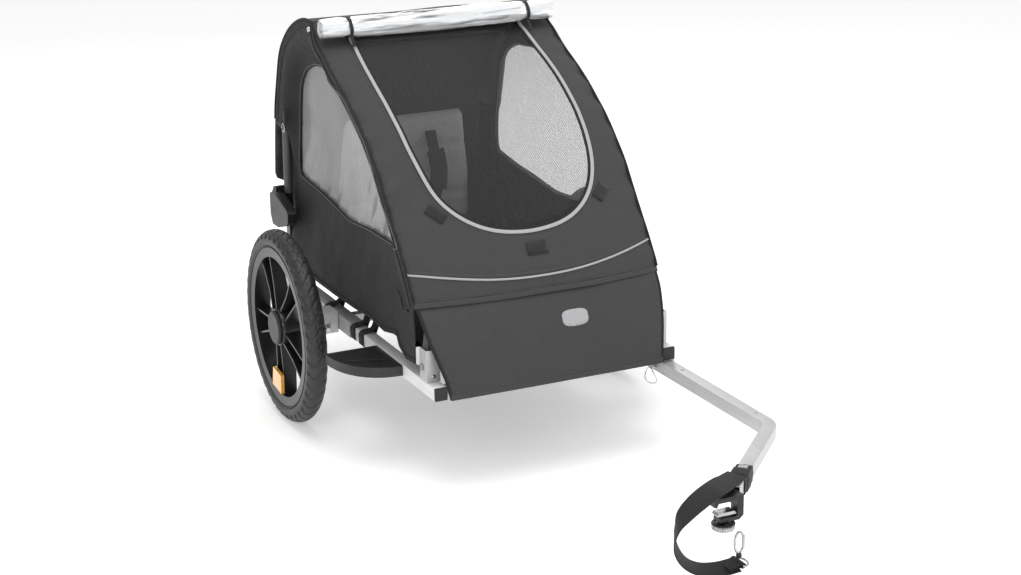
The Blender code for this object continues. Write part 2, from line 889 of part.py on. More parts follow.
def make_end_panels():
    bm = bmesh.new()
    widths = [SHELL_X if z > 0.43 else 0.2285 for _, z in REAR_PROFILE]
    add_loops(bm, strip_rings(REAR_PROFILE, widths, FABRIC))
    make("rear_panel", bm, FABRIC_SIDE, smooth=False)

    bm = bmesh.new()
    low_widths = [0.2560, 0.2480, 0.2400, 0.2285, 0.2240]
    add_loops(bm, strip_rings(LOWER_PROFILE, low_widths, FABRIC))
    make("lower_front_panel", bm, FABRIC_FRONT, smooth=False)


SIDE_FACE = 0.2572
SIDE_FABRIC = 0.0028
STRAP_PLACES = (-0.143, -0.097)
STRAP_HALF = 0.010
WINDOW_CORNERS = (
    (0.2380, 0.4505),
    (0.2390, 0.4940),
    (0.2280, 0.5830),
    (0.2080, 0.6520),
    (0.1755, 0.6870),
    (0.1260, 0.7055),
    (0.0410, 0.7110),
    (-0.0960, 0.6805),
    (-0.2115, 0.6070),
    (-0.2960, 0.5020),
    (-0.3610, 0.4410),
    (-0.0480, 0.4190),
)


def shrink(points, margin):
    """Moves each corner of an outline towards its inside by about the margin."""
    out = []
    for i, point in enumerate(points):
        here = Vector(point)
        first = (here - Vector(points[i - 1])).normalized()
        second = (Vector(points[(i + 1) % len(points)]) - here).normalized()
        one = Vector((-first.y, first.x))
        two = Vector((-second.y, second.x))
        out.append(here + (one + two) * margin / (1 + one.dot(two)))
    return out


def make_side_panels():
    """Side fabric with a window, tied down to the rail by webbing loops, and the pane in each window."""
    for side, sign in SIDES:
        outline = [(-0.4300, 0.2400), (-0.4330, 0.3350)]
        outline += [p for p in reversed(inset_profile(COVER_PROFILE)) if p[1] > 0.36 and p[0] < 0.052]
        outline += [p for p in inset_profile(REAR_PROFILE) if p[1] > 0.56 and p[0] > 0.060]
        outline += [(0.3070, 0.5500), (0.2680, 0.5450), (0.2680, 0.2620)]
        outline += [(0.0870, 0.2570), (0.0050, 0.2580), (-0.2000, 0.2650), (-0.2760, 0.2590)]
        outline += [(-0.3420, 0.2720), (-0.3520, 0.2510), (-0.3850, 0.2370)]
        x = sign * SIDE_FACE
        deep = Vector((sign * SIDE_FABRIC, 0, 0))
        bm = bmesh.new()
        add_prism(bm, [Vector((x, y, z)) for y, z in outline], deep)
        panel = make(f"side_panel_{side}", bm, FABRIC_SIDE, smooth=False)

        def fill_opening(bm, x=x, deep=deep):
            add_prism(bm, [Vector((x, y, z)) - deep for y, z in WINDOW_CORNERS], deep * 3)

        def fill_rivet(bm, sign=sign):
            add_rod(bm, (sign * 0.25, *TOP_PIVOT), (sign * 0.27, *TOP_PIVOT), 0.0045, 16)

        combine(panel, fill_opening, "DIFFERENCE", "window")
        combine(panel, fill_rivet, "DIFFERENCE", "rivet_hole")
        for i, place in enumerate(STRAP_PLACES):

            def fill_tail(bm, sign=sign, place=place):
                xs = sorted((sign * 0.2567, sign * 0.2592))
                low = (xs[0], place - STRAP_HALF, RAIL_Z)
                add_box(bm, low, (xs[1], place + STRAP_HALF, 0.275))

            def fill_band(bm, sign=sign, place=place):
                ends = [Vector((sign * RAIL_X, place + k * STRAP_HALF, RAIL_Z)) for k in (-0.98, 0.98)]
                frames = frames_along(ends, Vector((0, 0, 1)))
                add_hollow(bm, frames, square(0.0300), square(TUBE + 0.0012))

            combine(panel, fill_tail, "UNION", f"tail_{i}")
            combine(panel, fill_band, "UNION", f"band_{i}")

        bm = bmesh.new()
        pane = [(x + sign * 0.0009, p.x, p.y) for p in shrink(WINDOW_CORNERS, 0.0015)]
        add_prism(bm, pane, (sign * 0.0010, 0, 0))
        make(f"side_window_{side}", bm, VINYL, smooth=False)


def make_rain_roll():
    """The clear rain cover, rolled up across the top of the window."""
    count = 16
    bm = bmesh.new()
    add_turned(
        bm,
        (-0.256, *ROLL_CENTRE),
        (1, 0, 0),
        [
            (ROLL_RADIUS * 0.90, 0.0),
            (ROLL_RADIUS * 0.92, 0.060),
            (ROLL_RADIUS, 0.120),
            (ROLL_RADIUS, 0.392),
            (ROLL_RADIUS * 0.92, 0.452),
            (ROLL_RADIUS * 0.90, 0.512),
        ],
        count,
    )
    make("rain_cover_roll", bm, VINYL)


def make_seat():
    """A sling seat: a bottom pad that runs up into a reclined back pad."""
    half = 0.165
    bm = bmesh.new()
    outline = [
        (-0.0500, 0.2600),
        (0.2500, 0.2600),
        (0.2550, 0.3000),
        (0.2420, 0.5400),
        (0.2400, 0.5650),
        (0.2060, 0.5650),
        (0.2070, 0.5350),
        (0.2180, 0.3250),
        (0.1900, 0.3020),
        (-0.0400, 0.3020),
        (-0.0560, 0.2850),
    ]
    add_prism(bm, [Vector((-half, y, z)) for y, z in outline], (2 * half, 0, 0))
    make("seat", bm, SEAT, smooth=False)


# ---------------------------------------------------------------- tow arm and hitch

ARM_PIVOT = Vector((RAIL_X, ARM_PIVOT_Y, ARM_Z))
ARM_END = Vector((RAIL_X, ARM_BEND_Y, ARM_Z)) + LEG_DIRECTION * ARM_LEG


def arm_path():
    """The arm's centre line: straight ahead under the rail, then bent 45 degrees towards the middle."""
    corner = Vector((RAIL_X, ARM_BEND_Y, ARM_Z))
    tangent = ARM_BEND_RADIUS * math.tan(math.radians(22.5))
    centre = Vector((RAIL_X - ARM_BEND_RADIUS, ARM_BEND_Y + tangent, ARM_Z))
    path = [Vector((RAIL_X, ARM_REAR, ARM_Z))]
    steps = 6
    for i in range(steps + 1):
        angle = math.radians(45) * i / steps
        path.append(centre + Vector((math.cos(angle), -math.sin(angle), 0)) * ARM_BEND_RADIUS)
    path.append(corner + LEG_DIRECTION * ARM_LEG)
    return path


def make_arm():
    bm = bmesh.new()
    frames = frames_along(arm_path(), Vector((0, 0, 1)))
    add_hollow(bm, frames, square(TUBE), square(TUBE - 2 * TUBE_WALL))
    arm = make("tow_arm", bm, STEEL, ARM_PIVOT, smooth=False)
    cut_rods(
        arm,
        [
            ((RAIL_X, ARM_PIVOT_Y, ARM_Z - 0.02), (RAIL_X, ARM_PIVOT_Y, ARM_Z + 0.02), BOLT_RADIUS + GAP),
        ],
        "pivot_hole",
    )
    cut_rods(
        arm,
        [
            (
                (RAIL_X - 0.02, LOCK_PIN_Y, ARM_Z),
                (RAIL_X + 0.02, LOCK_PIN_Y, ARM_Z),
                PIVOT_RADIUS + GAP,
            ),
        ],
        "lock_hole",
    )

    bm = bmesh.new()
    plate_low = ARM_TOP + 0.0006
    plate_high = RAIL_BOTTOM - GAP
    ear_inner = RAIL_OUTER + 0.0006
    ear_outer = ear_inner + 0.0035
    add_box(bm, (RAIL_INNER, -0.500, plate_low), (ear_outer, -0.358, plate_high))
    bracket = make("arm_bracket", bm, STEEL, smooth=False)

    def fill_ear(bm):
        add_box(bm, (ear_inner, -0.500, ARM_Z - 0.0125), (ear_outer, EAR_REAR, plate_high - 0.0010))

    combine(bracket, fill_ear, "UNION", "ear")
    pivot_low = (RAIL_X, ARM_PIVOT_Y, plate_low - 0.01)
    pivot_high = (RAIL_X, ARM_PIVOT_Y, plate_high + 0.01)
    cut_rods(bracket, [(pivot_low, pivot_high, BOLT_RADIUS + GAP)], "pivot_hole")
    cut_rods(
        bracket,
        [((ear_inner - 0.004, LOCK_PIN_Y, ARM_Z), (ear_outer + 0.01, LOCK_PIN_Y, ARM_Z), 0.0052)],
        "lock_hole",
    )

    bm = bmesh.new()
    low = ARM_Z - TUBE / 2
    add_turned(
        bm,
        (RAIL_X, ARM_PIVOT_Y, low - 0.0065),
        (0, 0, 1),
        [
            (0.0085, 0.0),
            (0.0085, 0.0060),
            (BOLT_RADIUS, 0.0060),
            (BOLT_RADIUS, plate_high - GAP - low + 0.0065),
        ],
        12,
    )
    make("arm_pivot_bolt", bm, BRIGHT, ARM_PIVOT)

    bm = bmesh.new()
    start = Vector((RAIL_INNER - 0.012, LOCK_PIN_Y, ARM_Z))
    add_turned(
        bm,
        start,
        (1, 0, 0),
        [
            (0.0050, 0.0),
            (0.0075, 0.0015),
            (0.0075, 0.0095),
            (PIVOT_RADIUS, 0.0095),
            (PIVOT_RADIUS, 0.0095 + TUBE + 0.0060),
            (PIVOT_RADIUS - 0.0015, 0.0095 + TUBE + 0.0075),
        ],
        16,
    )
    make("arm_lock_pin", bm, BRIGHT, start)


HEAD_Y = -1.103
HEAD_HALF_Y = 0.0105
SCREW_X = 0.0005
JAW_TOP = 0.1500
KNOB_TOP = 0.1310


def make_hitch():
    """The hitch: a C-shaped clamp that turns in the arm, its moving jaw and the knob that drives it."""
    bm = bmesh.new()
    outline = [
        (0.0330, 0.1760),
        (-0.0150, 0.1760),
        (-0.0215, 0.1720),
        (-0.0230, 0.1625),
        (-0.0180, 0.1610),
        (-0.0150, 0.1680),
        (0.0190, 0.1680),
        (0.0210, 0.1640),
        (0.0210, 0.1420),
        (0.0180, 0.1400),
        (-0.0120, 0.1400),
        (-0.0120, 0.1330),
        (0.0250, 0.1330),
        (0.0330, 0.1400),
    ]
    add_prism(bm, [Vector((x, HEAD_Y - HEAD_HALF_Y, z)) for x, z in outline], (0, 2 * HEAD_HALF_Y, 0))
    head = make("hitch_clamp", bm, PLASTIC, ARM_END, smooth=False)

    def fill_shank(bm):
        bore = TUBE / 2 - TUBE_WALL - GAP
        add_rod(bm, ARM_END - LEG_DIRECTION * 0.030, ARM_END + LEG_DIRECTION * 0.0140, bore, 20)

    combine(head, fill_shank, "UNION", "shank")
    cut_rods(
        head,
        [((SCREW_X, HEAD_Y, 0.1300), (SCREW_X, HEAD_Y, 0.1440), 0.0040 + GAP)],
        "screw_hole",
    )

    bm = bmesh.new()
    add_prism(
        bm,
        [
            Vector((x, HEAD_Y - HEAD_HALF_Y + 0.001, z))
            for x, z in (
                (-0.0160, JAW_TOP - 0.004),
                (-0.0130, JAW_TOP),
                (0.0160, JAW_TOP),
                (0.0195, JAW_TOP - 0.004),
                (0.0195, JAW_TOP - 0.0060),
                (-0.0160, JAW_TOP - 0.0060),
            )
        ],
        (0, 2 * HEAD_HALF_Y - 0.002, 0),
    )
    make("hitch_jaw", bm, BRIGHT, (SCREW_X, HEAD_Y, JAW_TOP), smooth=False)

    bm = bmesh.new()
    knob_low = 0.1165
    add_turned(
        bm,
        (SCREW_X, HEAD_Y, knob_low),
        (0, 0, 1),
        [
            (0.0165, 0.0),
            (0.0205, 0.0020),
            (0.0205, 0.0095),
            (0.0180, 0.0120),
            (0.0090, KNOB_TOP - knob_low),
            (0.0040, KNOB_TOP - knob_low),
            (0.0040, JAW_TOP - 0.0060 - GAP - knob_low),
        ],
        24,
    )
    make("hitch_knob", bm, BRIGHT, (SCREW_X, HEAD_Y, knob_low))


STRAP_WIDTH = 0.036
STRAP_THICKNESS = 0.0022
STRAP_ROUTE = (
    (0.0560, -1.0545, 0.1840),
    (0.0300, -1.0720, 0.1868),
    (0.0040, -1.0930, 0.1922),
    (-0.0290, -1.1150, 0.1960),
    (-0.0640, -1.1280, 0.1880),
    (-0.0910, -1.1330, 0.1720),
    (-0.1050, -1.1320, 0.1500),
    (-0.1050, -1.1250, 0.1220),
    (-0.0900, -1.1170, 0.0920),
    (-0.0670, -1.1100, 0.0680),
    (-0.0370, -1.1040, 0.0510),
    (-0.0040, -1.1010, 0.0440),
    (0.0290, -1.1000, 0.0440),
)
STRAP_FACING = (
    (0.10, -0.10, 0.99),
    (0.05, -0.25, 0.97),
    (-0.15, -0.55, 0.82),
    (-0.34, -0.56, 0.75),
    (-0.55, -0.50, 0.67),
    (-0.80, -0.20, 0.56),
    (-0.92, 0.36, 0.14),
    (-0.84, 0.54, -0.06),
    (-0.62, 0.58, -0.52),
    (-0.36, 0.46, -0.81),
    (-0.14, 0.38, -0.91),
    (0.00, 0.32, -0.95),
    (0.00, 0.28, -0.96),
)


def make_safety_strap():
    """Flat webbing from the arm's end, out in a loop and back to the snap hook below the hitch."""
    route = smooth_route(STRAP_ROUTE, 3)
    facing = smooth_route(STRAP_FACING, 3)
    frames = []
    for i, point in enumerate(route):
        ahead = (route[min(i + 1, len(route) - 1)] - route[max(i - 1, 0)]).normalized()
        rise = (facing[i] - ahead * facing[i].dot(ahead)).normalized()
        frames.append((point, ahead.cross(rise), rise))
    bm = bmesh.new()
    add_loops(bm, rings_on(frames, rectangle(STRAP_WIDTH, STRAP_THICKNESS)))
    make("safety_strap", bm, WEBBING, smooth=False)


HOOK_CENTRE = Vector((0.0330, -1.1020, 0.0830))


def make_snap_hook():
    """The snap hook on the strap's end: an oval loop with a swivel eye below it."""
    half_width = 0.0075
    half_height = 0.0150
    wire = 0.0021
    count = 20
    rings = []
    for i in range(count):
        angle = 2 * math.pi * i / count
        point = HOOK_CENTRE + Vector((half_width * math.cos(angle), 0, half_height * math.sin(angle)))
        out = Vector((math.cos(angle) / half_width, 0, math.sin(angle) / half_height)).normalized()
        rings.append([point + out * u + Vector((0, v, 0)) for u, v in circle(wire, 8)])
    bm = bmesh.new()
    add_loops(bm, rings, closed=True)
    hook = make("snap_hook", bm, BRIGHT)

    def fill_swivel(bm):
        base = HOOK_CENTRE - Vector((0, 0, half_height))
        add_turned(
            bm,
            base + Vector((0, 0, 0.001)),
            (0, 0, -1),
            [(0.0032, 0.0), (0.0045, 0.003), (0.0045, 0.008), (0.0030, 0.011)],
            12,
        )

    combine(hook, fill_swivel, "UNION", "swivel")


def make_strap_ring():
    """The D-shaped ring sewn to the strap's free end."""
    wire = 0.0020
    centre = Vector((0.0330, -1.1000, 0.0480))
    half_width = 0.0195
    path = []
    for i in range(9):
        angle = math.pi * i / 8
        path.append(centre + Vector((0.0155 * math.sin(angle), half_width * math.cos(angle), 0.0)))
    rings = []
    for i, point in enumerate(path):
        ahead = (path[(i + 1) % 9] - path[i - 1]).normalized()
        side = ahead.cross(Vector((0, 0, 1)))
        rings.append([point + side * u + Vector((0, 0, v)) for u, v in circle(wire, 8)])
    bm = bmesh.new()
    add_loops(bm, rings, closed=True)
    make("strap_end_ring", bm, BRIGHT)


make_rails()
make_cross_tubes()
make_fenders()
make_sockets()
make_rear_locks()
make_floor()
make_wheels()
make_axles()
make_front_hoop()
make_rear_hoop()
make_top_pivots()
make_cover()
make_end_panels()
make_side_panels()
make_rain_roll()
make_seat()
make_arm()
make_hitch()
make_safety_strap()
make_snap_hook()
make_strap_ring()
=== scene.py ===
"""The look of the child bicycle trailer, built round its CAD model. Metres, +Z up, travel towards -Y."""

import json
import math

import bmesh
import bpy
import numpy as np
from mathutils import Euler, Matrix, Vector, noise
from mathutils.geometry import delaunay_2d_cdt

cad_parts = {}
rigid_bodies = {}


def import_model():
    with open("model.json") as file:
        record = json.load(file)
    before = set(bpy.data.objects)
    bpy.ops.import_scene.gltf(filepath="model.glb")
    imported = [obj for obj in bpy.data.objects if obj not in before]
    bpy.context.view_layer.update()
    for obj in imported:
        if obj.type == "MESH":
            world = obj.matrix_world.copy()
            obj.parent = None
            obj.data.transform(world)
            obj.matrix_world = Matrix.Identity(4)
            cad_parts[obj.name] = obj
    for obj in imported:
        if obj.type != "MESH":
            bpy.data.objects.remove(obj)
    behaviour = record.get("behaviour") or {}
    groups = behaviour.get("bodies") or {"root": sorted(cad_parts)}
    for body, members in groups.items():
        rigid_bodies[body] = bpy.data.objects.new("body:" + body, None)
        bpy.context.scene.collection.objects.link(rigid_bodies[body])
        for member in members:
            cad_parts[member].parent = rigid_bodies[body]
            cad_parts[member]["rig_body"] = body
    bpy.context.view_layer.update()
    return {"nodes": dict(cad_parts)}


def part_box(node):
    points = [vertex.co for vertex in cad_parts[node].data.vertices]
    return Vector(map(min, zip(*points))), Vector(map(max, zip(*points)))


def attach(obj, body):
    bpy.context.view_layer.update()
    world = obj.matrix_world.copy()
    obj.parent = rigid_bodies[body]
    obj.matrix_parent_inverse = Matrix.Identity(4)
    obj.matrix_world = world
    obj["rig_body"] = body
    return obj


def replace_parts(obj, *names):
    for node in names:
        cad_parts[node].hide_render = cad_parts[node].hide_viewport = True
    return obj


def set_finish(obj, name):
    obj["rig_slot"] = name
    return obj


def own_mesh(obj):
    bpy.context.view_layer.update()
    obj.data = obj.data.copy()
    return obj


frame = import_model()
nodes = frame["nodes"]
tyre_low, tyre_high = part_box("tyre_right")
AXLE_Y = (tyre_low.y + tyre_high.y) / 2
SIDES = (("right", -1.0), ("left", 1.0))
ROOT = "frame"
CLOTH_THICKNESS = 0.0014


def at(x, y, z):
    """A point in the frame, from one measured from the ground below the middle of the axle."""
    return Vector((x, y + AXLE_Y, z))


# ---------------------------------------------------------------- materials


class Shader:
    """A Principled material with helpers that add procedural detail to it."""

    def __init__(self, name, colour, roughness, metallic=0.0, **sockets):
        self.material = bpy.data.materials.new(name)
        self.material.use_nodes = True
        self.tree = self.material.node_tree
        self.shader = self.tree.nodes["Principled BSDF"]
        self.colour = colour
        self.roughness = roughness
        self.put("Base Color", (*colour, 1.0))
        self.put("Roughness", roughness)
        self.put("Metallic", metallic)
        for socket, value in sockets.items():
            self.put(socket.replace("_", " "), value)
        self.bumps = []

    def put(self, socket, value):
        self.shader.inputs[socket].default_value = value

    def node(self, kind, **values):
        made = self.tree.nodes.new(kind)
        for key, value in values.items():
            if hasattr(made, key):
                setattr(made, key, value)
            else:
                made.inputs[key.replace("_", " ")].default_value = value
        return made

    def link(self, a, b):
        self.tree.links.new(a, b)

    def place(self, space="Object", scale=(1, 1, 1), turn=(0, 0, 0)):
        coords = self.node("ShaderNodeTexCoord")
        mapping = self.node("ShaderNodeMapping")
        mapping.inputs["Scale"].default_value = scale
        mapping.inputs["Rotation"].default_value = turn
        self.link(coords.outputs[space], mapping.inputs["Vector"])
        return mapping.outputs["Vector"]

    def noise(self, scale, detail=4.0, space="Object", stretch=(1, 1, 1), distortion=0.0):
        made = self.node("ShaderNodeTexNoise", Scale=scale, Detail=detail, Distortion=distortion)
        self.link(self.place(space, stretch), made.inputs["Vector"])
        return made.outputs["Fac"]

    def waves(self, period, direction, space="UV"):
        """Bands of the given period in metres along one axis of the coordinates."""
        made = self.node("ShaderNodeTexWave", Scale=2 * math.pi / 20 / period, Distortion=0.0, Detail=0.0)
        made.bands_direction = direction
        self.link(self.place(space), made.inputs["Vector"])
        return made.outputs["Fac"]

    def math(self, operation, a, b=None):
        made = self.node("ShaderNodeMath", operation=operation)
        for i, value in enumerate((a, b)):
            if isinstance(value, (int, float)):
                made.inputs[i].default_value = value
            elif value is not None:
                self.link(value, made.inputs[i])
        return made.outputs[0]

    def shade(self, fac, low, high, contrast=(0.3, 0.7)):
        """Colours the surface between low and high times its own colour."""
        ramp = self.node("ShaderNodeValToRGB")
        ramp.color_ramp.elements[0].position = contrast[0]
        ramp.color_ramp.elements[1].position = contrast[1]
        ramp.color_ramp.elements[0].color = (*(c * low for c in self.colour), 1)
        ramp.color_ramp.elements[1].color = (*(min(1.0, c * high) for c in self.colour), 1)
        self.link(fac, ramp.inputs["Fac"])
        self.link(ramp.outputs["Color"], self.shader.inputs["Base Color"])
        return ramp

    def roughen(self, fac, low, high):
        made = self.node("ShaderNodeMapRange")
        made.inputs["To Min"].default_value = low
        made.inputs["To Max"].default_value = high
        self.link(fac, made.inputs["Value"])
        self.link(made.outputs["Result"], self.shader.inputs["Roughness"])

    def bump(self, height, strength, distance):
        made = self.node("ShaderNodeBump", Strength=strength, Distance=distance)
        self.link(height, made.inputs["Height"])
        if self.bumps:
            self.link(self.bumps[-1].outputs["Normal"], made.inputs["Normal"])
        self.bumps.append(made)
        self.link(made.outputs["Normal"], self.shader.inputs["Normal"])


def cloth(name, colour, period=0.0011, sheen=0.15, crease=0.35, variation=(0.82, 1.18)):
    """Plain woven coated polyester."""
    s = Shader(name, colour, 0.78, Sheen_Weight=sheen, Sheen_Roughness=0.5, Specular_IOR_Level=0.35)
    warp = s.waves(period, "X")
    weft = s.waves(period, "Y")
    weave = s.math("MAXIMUM", warp, weft)
    mottled = s.noise(240.0, 3.0, "UV")
    s.shade(s.math("ADD", s.math("MULTIPLY", weave, 0.4), s.math("MULTIPLY", mottled, 0.6)), *variation)
    s.roughen(s.noise(26.0, 4.0), 0.66, 0.88)
    s.bump(s.noise(9.0, 3.0, distortion=0.6), crease, 0.02)
    s.bump(weave, 0.3, 0.0004)
    return s.material


def webbing(name, colour):
    """Woven strap: ribs across its width and a firm edge."""
    s = Shader(name, colour, 0.66, Sheen_Weight=0.04, Specular_IOR_Level=0.35)
    ribs = s.waves(0.0016, "X")
    across = s.waves(0.0022, "Y")
    both = s.math("MAXIMUM", ribs, across)
    s.shade(
        s.math("ADD", s.math("MULTIPLY", both, 0.5), s.math("MULTIPLY", s.noise(160.0, 3.0, "UV"), 0.5)),
        0.7, 1.5
    )
    s.bump(both, 0.6, 0.0006)
    return s.material


def tube_metal(name, colour, axis, roughness=(0.3, 0.46), metallic=0.45):
    """Drawn tube: fine lines along its length, faint smears and small marks."""
    s = Shader(name, colour, roughness[0], metallic)
    stretch = [420.0, 420.0, 420.0]
    stretch[axis] = 4.0
    lines = s.noise(1.0, 3.0, stretch=tuple(stretch))
    smear = s.noise(14.0, 5.0, distortion=0.8)
    s.shade(s.math("ADD", s.math("MULTIPLY", lines, 0.6), s.math("MULTIPLY", smear, 0.4)), 0.86, 1.1)
    s.roughen(smear, *roughness)
    s.bump(lines, 0.1, 0.0003)
    s.bump(s.noise(60.0, 2.0), 0.06, 0.0006)
    return s.material


def plated(name, colour=(0.72, 0.72, 0.73), roughness=(0.14, 0.34)):
    s = Shader(name, colour, roughness[0], 1.0)
    smear = s.noise(120.0, 4.0)
    s.shade(smear, 0.78, 1.12)
    s.roughen(smear, *roughness)
    s.bump(s.noise(700.0, 2.0), 0.08, 0.0002)
    return s.material


def moulded(name, colour, roughness=(0.34, 0.52), grain=900.0, bump=0.18):
    """Moulded plastic with a fine grain and a painted highlight that lightens its sharp edges."""
    s = Shader(name, colour, roughness[0], Specular_IOR_Level=0.5)
    # Painted edge highlight: the colour gets lighter where the surface is sharply convex, with some random
    # tone mixed in.
    painted_edge_highlight = s.node("ShaderNodeNewGeometry").outputs["Pointiness"]
    mix = s.math("ADD", s.math("MULTIPLY", painted_edge_highlight, 0.8), s.math("MULTIPLY", s.noise(40.0, 4.0), 0.2))
    s.shade(mix, 0.9, 2.2, (0.52, 0.7))
    s.roughen(s.noise(55.0, 4.0), *roughness)
    s.bump(s.noise(grain, 2.0), bump, 0.0003)
    return s.material


def rubber(name, colour):
    s = Shader(name, colour, 0.5, Specular_IOR_Level=0.45)
    s.shade(s.noise(35.0, 5.0), 0.75, 1.35)
    s.roughen(s.noise(90.0, 3.0), 0.36, 0.55)
    s.bump(s.noise(650.0, 3.0), 0.25, 0.0003)
    return s.material


def film(name, colour, alpha, streak, crinkle=0.5, roughness=(0.1, 0.3)):
    """Clear soft film that has gone a little milky, with soft folds and streaks."""
    s = Shader(name, colour, roughness[0], Specular_IOR_Level=0.6, Coat_Weight=0.3, Coat_Roughness=0.12)
    lines = s.noise(1.0, 3.0, stretch=streak, distortion=0.9)
    s.shade(lines, 0.9, 1.1, (0.3, 0.7))
    s.roughen(lines, *roughness)
    fade = s.node("ShaderNodeMapRange")
    fade.inputs["To Min"].default_value = alpha[0]
    fade.inputs["To Max"].default_value = alpha[1]
    s.link(lines, fade.inputs["Value"])
    s.link(fade.outputs["Result"], s.shader.inputs["Alpha"])
    s.bump(lines, crinkle, 0.006)
    s.bump(s.noise(22.0, 3.0, distortion=1.5), crinkle * 0.5, 0.006)
    return s.material


def rolled_film(name, colour):
    """Many layers of clear film rolled together: glassy, with long crumples, and bright and dark reflections
    painted into its colour along them.
    """
    s = Shader(
        name, colour, 0.08, Specular_IOR_Level=0.8, Metallic=0.35, Coat_Weight=0.6, Coat_Roughness=0.04
    )
    lines = s.noise(1.0, 4.0, stretch=(3.6, 42.0, 42.0), distortion=0.8)
    fine = s.noise(1.0, 3.0, stretch=(9.0, 120.0, 120.0), distortion=0.5)
    painted_reflection_lines = s.math("ADD", s.math("MULTIPLY", lines, 0.65), s.math("MULTIPLY", fine, 0.35))
    # Painted reflections: bright and dark streaks in the base colour stand in for what the glassy layers
    # reflect.
    s.shade(painted_reflection_lines, 0.2, 1.28, (0.4, 0.5))
    s.roughen(fine, 0.04, 0.22)
    s.bump(lines, 0.6, 0.01)
    s.bump(fine, 0.35, 0.003)
    return s.material


def netting(name, colour, pitch=0.0042, strand=0.19):
    """Open diamond mesh: the strands stay and the cells let light through."""
    s = Shader(name, colour, 0.7, Specular_IOR_Level=0.3)
    coords = s.node("ShaderNodeTexCoord")
    split = s.node("ShaderNodeSeparateXYZ")
    s.link(coords.outputs["UV"], split.inputs["Vector"])
    x, y = split.outputs["X"], split.outputs["Y"]
    strands = []
    for operation in ("ADD", "SUBTRACT"):
        band = s.math("FRACT", s.math("DIVIDE", s.math(operation, x, y), pitch))
        strands.append(s.math("ABSOLUTE", s.math("SUBTRACT", band, 0.5)))
    nearest = s.math("MINIMUM", *strands)
    s.link(s.math("LESS_THAN", nearest, strand / 2), s.shader.inputs["Alpha"])
    s.shade(s.noise(300.0, 2.0, "UV"), 0.7, 1.5)
    s.bump(s.math("SUBTRACT", 0.5, nearest), 0.4, 0.0005)
    return s.material


FRONT_CLOTH = cloth("front_cloth", (0.046, 0.046, 0.047), sheen=0.04)
SIDE_CLOTH = cloth("side_cloth", (0.019, 0.019, 0.02), sheen=0.03)
LINING = cloth("lining_cloth", (0.6, 0.6, 0.61), crease=0.8)
TRIM = cloth("binding_tape", (0.013, 0.013, 0.014), period=0.0016, crease=0.1, sheen=0.03)
PIPING = cloth("reflective_piping", (0.4, 0.4, 0.41), period=0.0009, crease=0.05, variation=(0.9, 1.1))
STRAP = webbing("strap_webbing", (0.012, 0.012, 0.013))
ELASTIC = webbing("elastic_tape", (0.016, 0.016, 0.017))
HOOK_TAPE = cloth("hook_and_loop_tape", (0.018, 0.018, 0.019), period=0.002, crease=0.1)
RAIL_METAL = tube_metal("rail_metal", (0.8, 0.8, 0.81), 1, (0.34, 0.5), 0.1)
CROSS_METAL = tube_metal("cross_tube_metal", (0.5, 0.5, 0.51), 0)
POST_METAL = tube_metal("socket_metal", (0.54, 0.54, 0.55), 2)
SLEEVE_METAL = tube_metal("rear_rail_metal", (0.58, 0.58, 0.59), 1, (0.34, 0.5), 0.25)
ARM_METAL = tube_metal("arm_metal", (0.56, 0.56, 0.57), 1)
HOOP_METAL = tube_metal("hoop_metal", (0.075, 0.075, 0.078), 2, (0.3, 0.44), 0.2)
ZINC = plated("zinc_plate", (0.46, 0.46, 0.47))
BRIGHT = plated("bright_steel", (0.52, 0.52, 0.53), (0.1, 0.22))
BLACK = moulded("black_nylon", (0.011, 0.011, 0.012))
GREY_PLASTIC = moulded("dark_grey_plastic", (0.017, 0.017, 0.018), (0.36, 0.5))
WHEEL_PLASTIC = moulded("wheel_plastic", (0.01, 0.01, 0.011), (0.24, 0.36), 700.0, 0.06)
TYRE_RUBBER = rubber("tyre_rubber", (0.022, 0.022, 0.023))
NET = netting("window_net", (0.075, 0.075, 0.078))
WINDOW_FILM = film("window_film", (0.6, 0.6, 0.61), (0.4, 0.5), (9.0, 9.0, 2.4), 0.16)
ROLL_FILM = rolled_film("roll_film", (0.72, 0.73, 0.74))
PIPING_DULL = cloth(
    "window_piping_tape", (0.16, 0.16, 0.165), period=0.0009, crease=0.05, variation=(0.9, 1.1)
)
THREAD = Shader("black_thread", (0.09, 0.09, 0.095), 0.6)
THREAD.shade(THREAD.noise(900.0, 2.0), 0.7, 1.4)
FRONT_THREAD = THREAD.material


def amber():
    s = Shader(
        "amber_lens", (0.86, 0.33, 0.035), 0.14, Specular_IOR_Level=0.7, Coat_Weight=0.8,
        Coat_Roughness=0.06
    )
    rows = s.math("MAXIMUM", s.waves(0.0034, "X", "Object"), s.waves(0.0034, "Z", "Object"))
    s.shade(rows, 0.75, 1.5, (0.2, 0.9))
    s.bump(rows, 0.7, 0.0012)
    return s.material


AMBER = amber()

# ---------------------------------------------------------------- mesh helpers


def add_object(name, mesh, material, body=ROOT, slot=None, smooth=True, angle=40):
    if smooth:
        mesh.shade_smooth()
        mesh.set_sharp_from_angle(angle=math.radians(angle))
    mesh.materials.clear()
    mesh.materials.append(material)
    obj = bpy.data.objects.new(name, mesh)
    bpy.context.scene.collection.objects.link(obj)
    if body:
        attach(obj, body)
    if slot:
        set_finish(obj, slot)
    return obj


def from_bmesh(bm, name):
    bmesh.ops.recalc_face_normals(bm, faces=bm.faces)
    mesh = bpy.data.meshes.new(name)
    bm.to_mesh(mesh)
    bm.free()
    return mesh


def bake(obj):
    """Applies an object's modifiers, so that later steps see its final mesh."""
    bpy.context.view_layer.update()
    evaluated = obj.evaluated_get(bpy.context.evaluated_depsgraph_get())
    mesh = bpy.data.meshes.new_from_object(evaluated)
    obj.modifiers.clear()
    obj.data = mesh
    return obj


def soften(obj):
    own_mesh(obj)
    return obj


def clamp(t):
    """Holds a number between 0 and 1."""
    return min(1.0, max(0.0, t))


